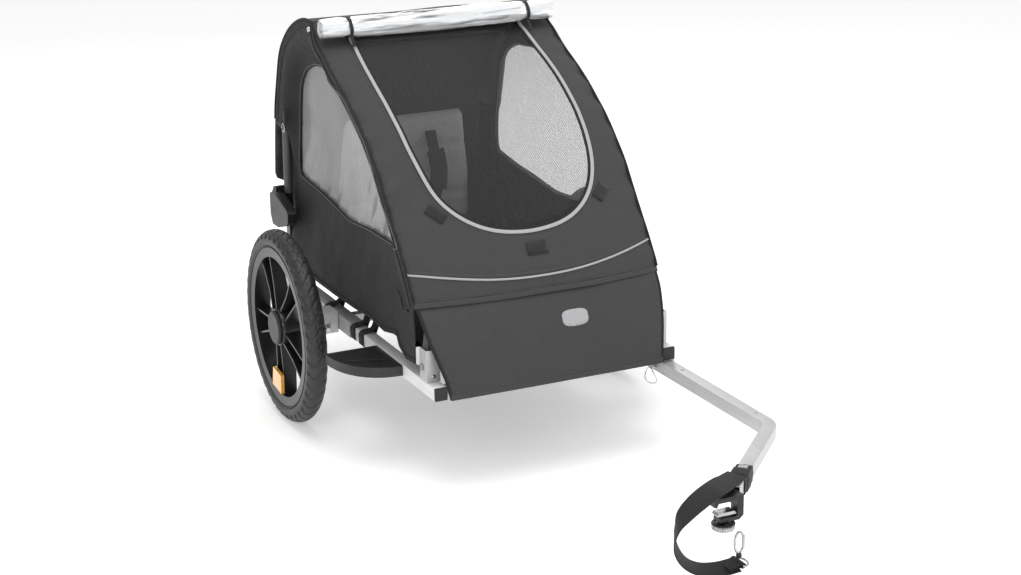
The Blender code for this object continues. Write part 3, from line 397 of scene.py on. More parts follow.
def ease(t):
    """Goes from 0 to 1 with soft ends."""
    t = clamp(t)
    return t * t * (3 - 2 * t)


def bell(value, middle, width):
    return math.exp(-(((value - middle) / width) ** 2))


def ellipse(centre, u, v, count):
    """Points round an ellipse with the half axes u and v."""
    turns = [2 * math.pi * i / count for i in range(count)]
    return [centre + Vector(u) * math.cos(a) + Vector(v) * math.sin(a) for a in turns]


def curve_through(points, per=4, closed=False):
    """Catmull-Rom points through a route's own points."""
    route = [Vector(p) for p in points]
    count = len(route)
    out = []
    for i in range(count if closed else count - 1):
        if closed:
            p0, p1, p2, p3 = (route[(i + k) % count] for k in (-1, 0, 1, 2))
        else:
            p1, p2 = route[i], route[i + 1]
            p0 = route[i - 1] if i else p1 * 2 - p2
            p3 = route[i + 2] if i + 2 < count else p2 * 2 - p1
        for k in range(per):
            t = k / per
            square = (2 * p0 - 5 * p1 + 4 * p2 - p3) * t * t
            out.append(0.5 * (2 * p1 + (p2 - p0) * t + square + (3 * p1 - p0 - 3 * p2 + p3) * t**3))
    if not closed:
        out.append(route[-1])
    return out


def ring_mesh(name, rings, closed=False, cap=True, uvs=None):
    """A skin over rings of points, closed into a loop or capped at its ends."""
    bm = bmesh.new()
    loops = [[bm.verts.new(p) for p in ring] for ring in rings]
    layer = bm.loops.layers.uv.new("UVMap")
    count = len(loops[0])
    pairs = [(i, i + 1) for i in range(len(loops) - 1)]
    if closed:
        pairs.append((len(loops) - 1, 0))
    for a, b in pairs:
        for i in range(count):
            j = (i + 1) % count
            face = bm.faces.new((loops[a][i], loops[a][j], loops[b][j], loops[b][i]))
            if uvs:
                along, around = uvs
                near, far = along[a], along[b] if b else along[a]
                here, there = around[i], around[i + 1]
                for loop, value in zip(
                    face.loops, ((near, here), (near, there), (far, there), (far, here))
                ):
                    loop[layer].uv = value
    if cap and not closed:
        bm.faces.new(loops[0])
        bm.faces.new(list(reversed(loops[-1])))
    return from_bmesh(bm, name)


def path_frames(points, up=None, closed=False):
    """(point, side, rise) along a path, rising towards up, or turning as little as they can without it."""
    frames = []
    side = None
    count = len(points)
    for i, point in enumerate(points):
        if closed:
            ahead = points[(i + 1) % count] - points[i - 1]
        else:
            ahead = points[min(i + 1, count - 1)] - points[max(i - 1, 0)]
        ahead.normalize()
        if up is not None:
            want = up[i] if isinstance(up, list) else up
            side = ahead.cross(want).normalized()
        else:
            side = ahead.orthogonal() if side is None else side - ahead * side.dot(ahead)
            side.normalize()
        frames.append((point, side, side.cross(ahead)))
    return frames


def distances(points):
    """The distance along a path at each of its points."""
    run = [0.0]
    for a, b in zip(points, points[1:]):
        run.append(run[-1] + (b - a).length)
    return run


def sweep(name, points, section, material, body=ROOT, slot=None, up=None, closed=False, angle=40):
    """Sweeps a section of (sideways, upward) points along a path."""
    rings = [[p + s * u + r * v for u, v in section] for p, s, r in path_frames(points, up, closed)]
    along = distances(points)
    corners = [Vector(p) for p in section]
    around = distances(corners + corners[:1])
    mesh = ring_mesh(name, rings, closed, uvs=(along, around))
    return add_object(name, mesh, material, body, slot, angle=angle)


def round_section(radius, sides=10):
    turns = [2 * math.pi * i / sides for i in range(sides)]
    return [(radius * math.cos(a), radius * math.sin(a)) for a in turns]


def strap_section(width, thickness, sides=3):
    """A flat band with rounded edges."""
    half = width / 2 - thickness / 2
    out = []
    for centre, start in ((half, -90), (-half, 90)):
        for i in range(sides + 1):
            angle = math.radians(start + 180 * i / sides)
            out.append((centre + thickness / 2 * math.cos(angle), thickness / 2 * math.sin(angle)))
    return out


def tube(name, points, radius, material, body=ROOT, slot=None, closed=False, sides=10):
    return sweep(name, points, round_section(radius, sides), material, body, slot, closed=closed)


def strip(name, points, section, material=None, slot="side_fabric", up=None, closed=False):
    """A strip of soft goods on the cabin."""
    made = sweep(name, points, section, material or TRIM, ROOT, slot, up=up, closed=closed)
    return soften(made)


def join(name, objs):
    """Joins several objects of one body into one piece."""
    bm = bmesh.new()
    materials = []
    for o in objs:
        for m in o.data.materials:
            if m not in materials:
                materials.append(m)
        index = [materials.index(m) for m in o.data.materials]
        start = len(bm.faces)
        bm.from_mesh(o.data)
        bm.faces.ensure_lookup_table()
        for f in bm.faces[start:]:
            f.material_index = index[f.material_index]
    body, slot = objs[0]["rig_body"], objs[0].get("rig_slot")
    mesh = bpy.data.meshes.new(name)
    bm.to_mesh(mesh)
    bm.free()
    for o in objs:
        bpy.data.objects.remove(o)
    for m in materials:
        mesh.materials.append(m)
    obj = bpy.data.objects.new(name, mesh)
    bpy.context.scene.collection.objects.link(obj)
    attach(obj, body)
    if slot:
        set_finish(obj, slot)
    return obj


def spun_mesh(name, rings, closed=False, fill=True):
    """A mesh of revolution from the profile's points at each turn."""
    bm = bmesh.new()
    loops = [[bm.verts.new(p) for p in ring] for ring in rings]
    count, steps = len(rings), len(rings[0])
    for i in range(count):
        j = (i + 1) % count
        for k in range(steps if closed else steps - 1):
            m = (k + 1) % steps
            bm.faces.new((loops[i][k], loops[j][k], loops[j][m], loops[i][m]))
    if fill and not closed:
        bmesh.ops.holes_fill(bm, edges=[e for e in bm.edges if e.is_boundary], sides=0)
    bmesh.ops.remove_doubles(bm, verts=bm.verts, dist=1e-7)
    return from_bmesh(bm, name)


def lathe(name, centre, axis, profile, material, body=ROOT, slot=None, count=40, closed=False, angle=35):
    """Turns a profile of (radius, distance along the axis) points."""
    axis = Vector(axis).normalized()
    first = axis.orthogonal().normalized()
    second = axis.cross(first)
    rings = []
    for i in range(count):
        turn = 2 * math.pi * i / count
        out = first * math.cos(turn) + second * math.sin(turn)
        rings.append([centre + axis * a + out * r for r, a in profile])
    return add_object(name, spun_mesh(name, rings, closed), material, body, slot, angle=angle)


def rounded_block(size, offset):
    bm = bmesh.new()
    bmesh.ops.create_cube(bm, size=1.0)
    bmesh.ops.scale(bm, vec=size, verts=bm.verts)
    bmesh.ops.bevel(bm, geom=bm.edges[:], offset=offset, segments=3, affect="EDGES")
    return bm


def row_sheet(name, rows, flat):
    """A thin sheet of side cloth through rows of points, with flat coordinates from each point."""
    bm = bmesh.new()
    layer = bm.loops.layers.uv.new("UVMap")
    placed = [[bm.verts.new(p) for p in row] for row in rows]
    for a, b in zip(placed, placed[1:]):
        for k in range(len(a) - 1):
            face = bm.faces.new((a[k], a[k + 1], b[k + 1], b[k]))
            for loop in face.loops:
                loop[layer].uv = flat(loop.vert.co)
    return thicken(add_object(name, from_bmesh(bm, name), SIDE_CLOTH, ROOT, "side_fabric"), 0.0012)


def inside(point, polygon):
    x, y = point
    hit = False
    for (x1, y1), (x2, y2) in zip(polygon, polygon[1:] + polygon[:1]):
        if (y1 > y) != (y2 > y) and x < (x2 - x1) * (y - y1) / (y2 - y1) + x1:
            hit = not hit
    return hit


def resample(polygon, step, closed=True):
    """The polygon again, with points at most a step apart on its sides."""
    out = []
    pairs = list(zip(polygon, polygon[1:] + polygon[:1])) if closed else list(zip(polygon, polygon[1:]))
    for a, b in pairs:
        a, b = np.array(a[:2], float), np.array(b[:2], float)
        count = max(1, round(float(np.linalg.norm(b - a)) / step))
        out += [tuple(a + (b - a) * k / count) for k in range(count)]
    if not closed:
        out.append(tuple(polygon[-1][:2]))
    return out


def thicken(obj, thickness, **values):
    solid = obj.modifiers.new("thickness", "SOLIDIFY")
    solid.thickness = thickness
    for key, value in values.items():
        setattr(solid, key, value)
    return bake(obj)


def panel(name, outline, holes, surface, step, material, thickness, slot=None, body=ROOT):
    """A sheet with holes, cut to a flat outline and laid on a surface function, with a real thickness."""
    loops = [resample(outline, step)] + [resample(h, step) for h in holes]
    points, faces = [], []
    for loop in loops:
        start = len(points)
        points += loop
        faces.append(list(range(start, len(points))))
    low = np.min(loops[0], axis=0)
    high = np.max(loops[0], axis=0)
    edges = np.array([p for loop in loops for p in loop])
    row = 0
    y = low[1] + step / 2
    while y < high[1]:
        x = low[0] + step * (0.5 if row % 2 else 1.0)
        while x < high[0]:
            p = (x, y)
            near = np.min(np.abs(edges - p).sum(1))
            if near > step * 0.75 and inside(p, loops[0]) and not any(inside(p, h) for h in loops[1:]):
                points.append(p)
            x += step
        y += step * 0.87
        row += 1
    made = delaunay_2d_cdt([Vector(p) for p in points], [], faces, 1, 1e-7, True)
    verts, tris = made[0], made[2]
    bm = bmesh.new()
    layer = bm.loops.layers.uv.new("UVMap")
    placed = [bm.verts.new(surface(v.x, v.y)) for v in verts]
    for tri in tris:
        centre = sum((verts[i] for i in tri), Vector((0, 0))) / len(tri)
        if any(inside(centre, h) for h in loops[1:]) or not inside(centre, loops[0]):
            continue
        face = bm.faces.new([placed[i] for i in tri])
        for loop, i in zip(face.loops, tri):
            loop[layer].uv = verts[i]
    bmesh.ops.delete(bm, geom=[v for v in bm.verts if not v.link_faces], context="VERTS")
    flat_area = 0.0
    for loop, sign in zip(loops, [1] + [-1] * len(holes)):
        a = np.array(loop)
        b = np.roll(a, -1, axis=0)
        flat_area += sign * abs(float((a[:, 0] * b[:, 1] - a[:, 1] * b[:, 0]).sum()) / 2)
    mesh = bpy.data.meshes.new(name)
    bm.to_mesh(mesh)
    bm.free()
    obj = add_object(name, mesh, material, body, slot, angle=60)
    if thickness:
        thicken(obj, thickness, offset=0.0)
    obj["flat_area"] = flat_area
    return obj


def fabric(name, outline, holes, surface, step, material, thickness, slot, stands_for=None):
    """A panel in the place of a CAD node where one is named."""
    piece = panel(name, outline, holes, surface, step, material, thickness, slot)
    if stands_for:
        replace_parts(piece, stands_for)
    return soften(piece)


def wrinkle(point, scale, amount, seed=0.0):
    return amount * noise.noise(Vector(point) * scale + Vector((seed, seed * 1.7, seed * 0.3)))


# ---------------------------------------------------------------- the cabin's surfaces

HALF = 0.26
SLOPE = [
    (0.056, 0.808), (0.052, 0.803), (0.0486, 0.79), (0.0395, 0.7705), (0.012, 0.756), (-0.031, 0.729),
    (-0.085, 0.702), (-0.139, 0.672), (-0.183, 0.643), (-0.222, 0.614), (-0.281, 0.558), (-0.325, 0.5),
    (-0.365, 0.448), (-0.402, 0.398), (-0.424, 0.366), (-0.437, 0.34)
]
BACK = [
    (0.057, 0.8085), (0.106, 0.808), (0.166, 0.79), (0.222, 0.757), (0.269, 0.706), (0.302, 0.611),
    (0.32, 0.54), (0.335, 0.432), (0.339, 0.36), (0.343, 0.28), (0.344, 0.245)
]


class Profile:
    """A smooth side profile measured by the distance along it, from a chosen point of it."""

    def __init__(self, points, zero):
        dense = curve_through([(0, y, z) for y, z in points], 8)
        self.y = np.array([p.y for p in dense])
        self.z = np.array([p.z for p in dense])
        run = np.concatenate([[0], np.cumsum(np.hypot(np.diff(self.y), np.diff(self.z)))])
        self.s = run - run[zero * 8]

    def place(self, s):
        return float(np.interp(s, self.s, self.y)), float(np.interp(s, self.s, self.z))

    def outward(self, s, reach=0.012):
        y1, z1 = self.place(s - reach)
        y2, z2 = self.place(s + reach)
        n = Vector((0, z2 - z1, -(y2 - y1))).normalized()
        y, z = self.place(s)
        centre = Vector((0, -0.05, 0.45))
        return n if n.dot(Vector((0, y, z)) - centre) > 0 else -n


slope = Profile(SLOPE, 3)
back = Profile(BACK, 0)
SLOPE_START, SLOPE_END = float(slope.s[0]), float(slope.s[-1])
BACK_END = float(back.s[-1])


def crown(s):
    return float(np.interp(s, (-0.05, 0.0, 0.08, 0.3, 0.55, 0.66), (0.0, 0.002, 0.018, 0.03, 0.029, 0.024)))


def cover_at(x, s, lift=0.0):
    """The front cover's outer surface: x across it and s down the slope."""
    u = min(1.0, abs(x) / HALF)
    y, z = slope.place(s)
    pull = 0.0022 * bell(HALF - abs(x), 0.0, 0.03) * math.sin(s * 95.0) * clamp(s * 20)
    rise = crown(s) * (1 - u**2.2) - 0.004 * u**16 + pull + lift
    rise += wrinkle((x, s, 0.0), 9.0, 0.0016) * (1 - u**8) * clamp(s * 8)
    return at(x, y, z) + slope.outward(s) * rise


def back_half(r):
    """Half the rear panel's width at a distance down it: narrower between the posts."""
    return HALF - ease((r - 0.533) / 0.022) * (HALF - 0.2275)


def back_at(q, r, lift=0.0):
    """The rear panel's outer surface: q from -1 to 1 across it and r down it."""
    y, z = back.place(r)
    bulge = float(np.interp(r, (0.0, 0.08, 0.3, 0.5, 0.7, BACK_END), (0.0, 0.004, 0.012, 0.01, 0.006, 0.0)))
    x = q * back_half(r)
    rise = bulge * (1 - abs(q) ** 2.4) - 0.003 * abs(q) ** 16 + lift
    rise -= 0.0085 * (1 - abs(q) ** 6) * bell(r, 0.09, 0.06)
    rise += wrinkle((x, r, 3.0), 8.0, 0.0022, 2.0) * (1 - abs(q) ** 6)
    return at(x, y, z) + back.outward(r) * rise


def arch_points():
    """The side fabric's upper edge, as an array of (y, z)."""
    front = [slope.place(s) for s in np.linspace(0.65, -0.04, 60)]
    rear = [back.place(r) for r in np.linspace(0.0, 0.62, 50)]
    return np.array(front + rear)


ARCH = arch_points()


def dish(y, z):
    """How far the side fabric is drawn in between the hoops, below its arched edge."""
    gap = float(np.sqrt(((ARCH - (y, z)) ** 2).sum(1)).min())
    front = 0.3 + 0.7 * ease((y + 0.4) / 0.34)
    start = 0.026 + 0.014 * clamp((y - 0.04) / 0.06)
    inner = ease((gap - start) / 0.032)
    return 0.0262 * inner * front * (1 - bell(max(0.0, z - 0.262), 0.0, 0.085))


def side_at(sign, y, z, lift=0.0):
    """The side fabric's outer surface: drawn in between the hoops, a little full low down."""
    low = bell(y, -0.2, 0.16) * bell(z, 0.34, 0.055)
    rear = bell(y, 0.16, 0.07) * bell(z, 0.34, 0.1)
    ripple = wrinkle((y, z, sign), 11.0, 0.0022, 5.0 + sign) * clamp((0.75 - z) * 6)
    fold = 0.0012 * math.sin((y * 0.6 + z) * 120.0) * bell(y, -0.33, 0.06) * bell(z, 0.33, 0.05)
    reach = HALF - 0.0012 - dish(y, z) + 0.006 * low - 0.003 * rear + ripple + fold + lift
    return at(sign * reach, y, z)


def on_cover(points, lift=0.0):
    return [cover_at(x, s, lift) for x, s in points]


# ---------------------------------------------------------------- camera, light and floor


VIEW_YAW, VIEW_PITCH, VIEW_ROLL = 0.4452007, 0.3057551, -0.0144478
EYE = at(-1.59084, -3.63705, 1.4778)
SOFTBOXES = (
    ("top_softbox", (-0.2, -0.3, 3.6), (0, 0, 0.3), (2.6, 2.6), 58),
    ("front_softbox", (-2.6, -2.6, 2.2), (0, 0, 0.4), (1.6, 1.4), 26),
    ("left_softbox", (3.0, -1.6, 1.8), (0, 0, 0.4), (1.4, 1.4), 14),
    ("rear_softbox", (1.2, 3.2, 2.4), (0, 0.2, 0.4), (2.0, 1.6), 22)
)

def make_stage():
    """The camera at the photograph's viewing angle, the floor, the air and four soft lights."""
    camera = bpy.data.objects.new("camera", bpy.data.cameras.new("camera"))
    bpy.context.scene.collection.objects.link(camera)
    level = math.cos(VIEW_PITCH)
    ahead = Vector((math.sin(VIEW_YAW) * level, math.cos(VIEW_YAW) * level, -math.sin(VIEW_PITCH)))
    right = Vector((math.cos(VIEW_YAW), -math.sin(VIEW_YAW), 0.0))
    up = right.cross(ahead)
    across = right * math.cos(VIEW_ROLL) + up * math.sin(VIEW_ROLL)
    rise = up * math.cos(VIEW_ROLL) - right * math.sin(VIEW_ROLL)
    turn = Matrix((across, rise, -ahead)).transposed()
    camera.matrix_world = Matrix.Translation(EYE) @ turn.to_4x4()
    camera.data.sensor_width = 36.0
    camera.data.lens = 69.33
    camera.data.clip_start = 0.05
    camera.data.clip_end = 60.0
    bpy.context.scene.camera = camera

    bpy.ops.mesh.primitive_plane_add(size=60.0, location=(0, 0, -0.0005))
    floor = bpy.context.object
    floor.name = "studio_floor"
    s = Shader("studio_floor", (0.92, 0.92, 0.92), 0.9, Specular_IOR_Level=0.05)
    s.put("Emission Color", (1.0, 1.0, 1.0, 1.0))
    s.put("Emission Strength", 0.34)
    floor.data.materials.append(s.material)

    world = bpy.data.worlds.new("studio_air")
    bpy.context.scene.world = world
    world.use_nodes = True
    air = world.node_tree.nodes["Background"].inputs
    air["Color"].default_value = (1.0, 1.0, 1.0, 1.0)
    air["Strength"].default_value = 0.62
    for name, place, target, size, power in SOFTBOXES:
        light = bpy.data.lights.new(name, "AREA")
        light.shape = "RECTANGLE"
        light.size, light.size_y = size
        light.energy = power
        obj = bpy.data.objects.new(name, light)
        bpy.context.scene.collection.objects.link(obj)
        obj.location = place
        obj.rotation_euler = (Vector(target) - Vector(place)).to_track_quat("-Z", "Y").to_euler()
    bpy.context.scene.view_settings.view_transform = "Standard"


# ---------------------------------------------------------------- safety strap, its ring and hook

STRAP_WIDTH = 0.036
STRAP_THICKNESS = 0.0022
STRAP_ROUTE = (
    (0.056, -1.0545, 0.184), (0.03, -1.072, 0.1868), (0.004, -1.093, 0.1922), (-0.029, -1.115, 0.196),
    (-0.064, -1.128, 0.188), (-0.091, -1.133, 0.172), (-0.105, -1.132, 0.15), (-0.105, -1.125, 0.122),
    (-0.09, -1.117, 0.092), (-0.067, -1.11, 0.068), (-0.037, -1.104, 0.051), (-0.004, -1.101, 0.044),
    (0.029, -1.1, 0.044)
)
STRAP_FACING = (
    (0.1, -0.1, 0.99), (0.05, -0.25, 0.97), (-0.15, -0.55, 0.82), (-0.34, -0.56, 0.75), (-0.55, -0.5, 0.67),
    (-0.8, -0.2, 0.56), (-0.92, 0.36, 0.14), (-0.84, 0.54, -0.06), (-0.62, 0.58, -0.52),
    (-0.36, 0.46, -0.81), (-0.14, 0.38, -0.91), (0.0, 0.32, -0.95), (0.0, 0.28, -0.96)
)
ARM_BODY = "tow_arm_body"


RING_CENTRE = at(0.033, -1.1, 0.048)
HOOK_CENTRE = at(0.033, -1.102, 0.085)
SWIVEL_PROFILE = [(0, 0), (0.0036, 0.0005), (0.0048, 0.003), (0.0048, 0.0075), (0.0034, 0.01), (0, 0.011)]

def make_safety_strap():
    """The strap, folded round its end ring, with the snap hook that hangs in the ring."""
    route = curve_through([at(*p) for p in STRAP_ROUTE], 6)
    facing = curve_through(STRAP_FACING, 6)
    section = strap_section(STRAP_WIDTH, STRAP_THICKNESS)
    strap = sweep("safety_strap_webbing", route, section, STRAP, ARM_BODY, "webbing", up=facing)
    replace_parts(strap, "safety_strap")

    half_turn = [math.pi * i / 12 for i in range(13)]
    bow = [RING_CENTRE + Vector((0.0155 * math.sin(a), 0.0195 * math.cos(a), 0.0)) for a in half_turn]
    ring = tube("strap_ring", bow, 0.002, BRIGHT, ARM_BODY, "zinc", closed=True)
    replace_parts(ring, "strap_end_ring")

    round_bar = [math.radians(150 - 300 * i / 16) for i in range(17)]
    fold = [RING_CENTRE + Vector((0.0052 * math.cos(a), 0, 0.0042 * math.sin(a))) for a in round_bar]
    turned = [Vector((0, 0, 1))] + [(p - RING_CENTRE).normalized() for p in fold] + [Vector((0, 0, -1))]
    fold = [route[-1] + Vector((-0.022, 0, 0.0012))] + fold + [route[-1] + Vector((-0.022, 0, -0.0016))]
    sweep("strap_end_fold", fold, strap_section(0.034, 0.0016), STRAP, ARM_BODY, "webbing", up=turned)

    loop = ellipse(HOOK_CENTRE, (0.0088, 0, 0), (0, 0, 0.019), 28)
    wire_loop = tube("snap_hook_wire", loop, 0.0021, BRIGHT, ARM_BODY, "zinc", closed=True)
    bar = [HOOK_CENTRE + Vector((0.0078, -0.0002, -0.011 + 0.022 * i / 6)) for i in range(7)]
    gate = tube("snap_hook_gate_wire", bar, 0.0026, ZINC, ARM_BODY, "zinc")
    turned_from = HOOK_CENTRE - Vector((0, 0, 0.018))
    swivel = lathe("snap_hook_swivel", turned_from, (0, 0, -1), SWIVEL_PROFILE, BLACK, ARM_BODY, "zinc", 24)
    hook = join("snap_hook_assembly", [wire_loop, gate, swivel])
    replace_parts(hook, "snap_hook")


# ---------------------------------------------------------------- front cover and window net

OPENING = (
    (0.0, 0.188), (0.08, 0.192), (0.166, 0.195), (0.24, 0.194), (0.305, 0.192), (0.35, 0.189), (0.4, 0.181),
    (0.44, 0.169), (0.473, 0.151), (0.502, 0.124), (0.524, 0.09), (0.537, 0.05)
)
OPENING_END = 0.542


def opening_side():
    """Half of the window opening's edge, from the top down to the middle of its bottom."""
    rough = [Vector((h, s, 0)) for s, h in OPENING] + [Vector((0.0, OPENING_END, 0))]
    rough.append(Vector((-0.05, 0.537, 0)))
    fine = curve_through(rough, 5)
    return [(p.x, p.y) for p in fine if p.x >= -1e-6]


def opening_outline(margin=0.0):
    half = opening_side()
    grow = [(max(0.0, x + margin * (x / 0.195)), s + margin * max(0.0, (s - 0.3) / 0.24)) for x, s in half]
    left = [(-x, s) for x, s in reversed(grow) if x > 1e-6]
    return grow + left


def low_line(x):
    """The thin piping across the cover: how far down the slope it runs."""
    return 0.582 + 0.047 * (1 - (abs(x) / HALF) ** 2.2)


def hem_line(x):
    """The cover's bottom edge."""
    return 0.648 + 0.012 * (1 - (abs(x) / HALF) ** 2.0)


# Hook tape on the cover: across it, down it, turn, width and height.
HOOK_TAPES = (
    (0.002, 0.577, 0.0, 0.044, 0.026), (0.176, 0.478, 0.75, 0.024, 0.04),
    (-0.176, 0.478, -0.75, 0.024, 0.04)
)

def cover_strip(name, path, lift, section, material):
    """A strip along a path of the front cover, lying flat on it."""
    up = [slope.outward(s) for _, s in path]
    return strip(name, on_cover(path, lift), section, material, "front_fabric", up)


def make_front_cover():
    """The front cover with its net window, their tapes and piping, hook tape and stitches."""
    xs = [-HALF + 2 * HALF * i / 40 for i in range(41)]
    outline = [(x, SLOPE_START + 0.001) for x in xs] + [(x, hem_line(x)) for x in reversed(xs)]
    cover = fabric(
        "front_cover_cloth", outline, [opening_outline(0.002)], lambda x, s: cover_at(x, s, -0.0008), 0.011,
        FRONT_CLOTH, CLOTH_THICKNESS, "front_fabric", "front_cover"
    )

    def net_at(x, s):
        return cover_at(x, s, -0.003 - 0.004 * (1 - (abs(x) / 0.2) ** 2) * clamp(s * 9))

    net = fabric("window_net", opening_outline(0.004), [], net_at, 0.014, NET, 0.0, "mesh", "mesh_window")

    half = opening_side()
    edge = [(-x, s) for x, s in half if x > 1e-6] + [(x, s) for x, s in reversed(half)]
    edge[0] = (edge[0][0], -0.01)
    edge[-1] = (edge[-1][0], -0.01)
    cover_strip("window_piping", edge, 0.0006, strap_section(0.0075, 0.0028), PIPING)
    inner = [(x * 0.974, s - 0.005 * max(0.0, (s - 0.25) / 0.29)) for x, s in edge]
    cover_strip("window_binding", inner, -0.0012, strap_section(0.008, 0.0016), TRIM)

    across = [-HALF + 0.001 + (2 * HALF - 0.002) * i / 60 for i in range(61)]
    line = [(x, low_line(x)) for x in across]
    soften(tube("low_piping", on_cover(line, 0.001), 0.0021, PIPING, ROOT, "front_fabric"))
    above = [(x, s - 0.006) for x, s in line]
    cover_strip("low_piping_flange", above, 0.0002, strap_section(0.007, 0.0012), FRONT_CLOTH)
    hem = [(x, hem_line(x) - 0.003) for x in across]
    cover_strip("cover_hem", hem, 0.0002, strap_section(0.011, 0.0034), FRONT_CLOTH)

    patches = []
    for i, (x, s, turn, width, height) in enumerate(HOOK_TAPES):
        corners = [(a * width / 2, b * height / 2) for a, b in ((-1, -1), (1, -1), (1, 1), (-1, 1))]
        c, d = math.cos(turn), math.sin(turn)

        def place(a, b, x=x, s=s, c=c, d=d):
            return cover_at(x + a * c - b * d, s + a * d + b * c, 0.001)

        name = f"hook_tape_{i}"
        patches.append(panel(name, corners, [], place, 0.008, HOOK_TAPE, CLOTH_THICKNESS, "front_fabric"))
    soften(join("hook_tape_patches", patches))
    rows = [
        ([(x * 1.045, s + 0.006 * max(0.0, (s - 0.25) / 0.29)) for x, s in edge], 0.0004),
        ([(x, s - 0.0085) for x, s in line], 0.0006), ([(x, s - 0.008) for x, s in hem], 0.0008)
    ]
    soften(stitches("cover_stitches", rows, cover_at, "front_fabric"))


def stitches(name, rows, surface, slot="side_fabric", length=0.0034, gap=0.0018, radius=0.00042):
    """Rows of small raised stitches laid on a surface along flat paths."""
    bm = bmesh.new()
    corners = ((1, 0), (0, 1), (-1, 0), (0, -1))
    for path, lift in rows:
        flat = [Vector((p[0], p[1], 0)) for p in path]
        run = distances(flat)
        xs, ys = [p.x for p in flat], [p.y for p in flat]

        def end_at(d, run=run, xs=xs, ys=ys, lift=lift):
            return surface(float(np.interp(d, run, xs)), float(np.interp(d, run, ys)), lift)

        d = gap
        while d + length < run[-1]:
            a, b = end_at(d), end_at(d + length)
            ahead = (b - a).normalized()
            side = ahead.orthogonal().normalized()
            rise = side.cross(ahead)
            first, second = (
                [bm.verts.new(p + side * radius * c + rise * radius * k) for c, k in corners]
                for p in (a, b)
            )
            for i in range(4):
                j = (i + 1) % 4
                bm.faces.new((first[i], first[j], second[j], second[i]))
            bm.faces.new(first)
            bm.faces.new(list(reversed(second)))
            d += length + gap
    return add_object(name, from_bmesh(bm, name), FRONT_THREAD, ROOT, slot)


# ---------------------------------------------------------------- lower front panel

LOWER = ((-0.433, 0.346), (-0.45, 0.325), (-0.468, 0.296), (-0.49, 0.256), (-0.507, 0.216), (-0.516, 0.186))
LOWER_HALF = (0.254, 0.252, 0.247, 0.239, 0.23, 0.2245)
lower = Profile(LOWER, 0)
LOWER_END = float(lower.s[-1])


def lower_at(q, t, lift=0.0):
    """The lower front panel: q from -1 to 1 across it and t down it."""
    y, z = lower.place(t)
    steps = [i / (len(LOWER_HALF) - 1) for i in range(len(LOWER_HALF))]
    half = float(np.interp(t / LOWER_END, steps, LOWER_HALF))
    bulge = 0.016 * (1 - abs(q) ** 2.5) * (1 - (t / LOWER_END) ** 2 * 0.85)
    bulge += 0.004 * math.sin(math.pi * t / LOWER_END) * (1 - abs(q) ** 4)
    bulge -= 0.003 * abs(q) ** 10
    return at(q * half, y, z) + lower.outward(t) * (
        bulge
        + lift
        + wrinkle((q * 0.25, t, 7.0), 10.0, 0.0018, 4.0)
    )


def make_lower_panel():
    """The lower front panel with its hem, edges, reflective patch and stitches."""
    columns = [-1 + 2 * i / 40 for i in range(41)]
    outline = [(q * 0.24, 0.001) for q in columns] + [(q * 0.24, LOWER_END) for q in reversed(columns)]
    low = fabric(
        "lower_front_cloth", outline, [], lambda x, t: lower_at(x / 0.24, t), 0.011, FRONT_CLOTH,
        CLOTH_THICKNESS, "front_fabric", "lower_front_panel"
    )
    bottom = [lower_at(q, LOWER_END - 0.004, 0.0004) for q in columns]
    section = strap_section(0.012, 0.004)
    strip("lower_hem", bottom, section, FRONT_CLOTH, "front_fabric", Vector((0, -1, 0.3)))
    edges = []
    for sign in (-1, 1):
        path = [lower_at(sign * 0.997, LOWER_END * i / 18, 0.0002) for i in range(19)]
        section = strap_section(0.0065, 0.0032)
        up = Vector((0, -1, 0.4))
        edges.append(sweep(f"lower_edge_{sign:+.0f}", path, section, TRIM, ROOT, "front_fabric", up=up))
    soften(join("lower_edge_binding", edges))

    def squarish(value):
        return math.copysign(abs(value) ** 0.6, value)

    turns = [2 * math.pi * i / 28 for i in range(28)]
    arc = [(0.027 * squarish(math.cos(a)), 0.016 * squarish(math.sin(a))) for a in turns]
    fabric(
        "reflective_patch", arc, [], lambda a, b: lower_at((a + 0.046) / 0.24, b + 0.07, 0.0012), 0.006,
        PIPING, 0.0008, "front_fabric"
    )
    rows = [([(q * 0.24, LOWER_END - 0.0125) for q in columns], 0.001)]
    for q in (0.965, -0.965):
        rows.append(([(q * 0.24, LOWER_END * i / 20) for i in range(1, 20)], 0.001))
    made = stitches("lower_stitches", rows, lambda x, t, lift: lower_at(x / 0.24, t, lift), "front_fabric")
    soften(made)


# ---------------------------------------------------------------- side fabric and windows

WINDOW = (
    (0.238, 0.4505), (0.239, 0.494), (0.228, 0.583), (0.208, 0.652), (0.1755, 0.687), (0.126, 0.7055),
    (0.041, 0.711), (-0.096, 0.6805), (-0.2115, 0.607), (-0.296, 0.502), (-0.361, 0.441), (-0.048, 0.419)
)
LOWER_EDGE = (
    (0.266, 0.262), (0.18, 0.259), (0.087, 0.256), (0.005, 0.2575), (-0.097, 0.26), (-0.2, 0.265),
    (-0.276, 0.259), (-0.342, 0.272), (-0.354, 0.25), (-0.385, 0.236), (-0.425, 0.239)
)


# The side panel's edge where it is open in front of the rear tube.
SIDE_REAR = [(0.306, 0.548), (0.27, 0.544), (0.267, 0.53)]

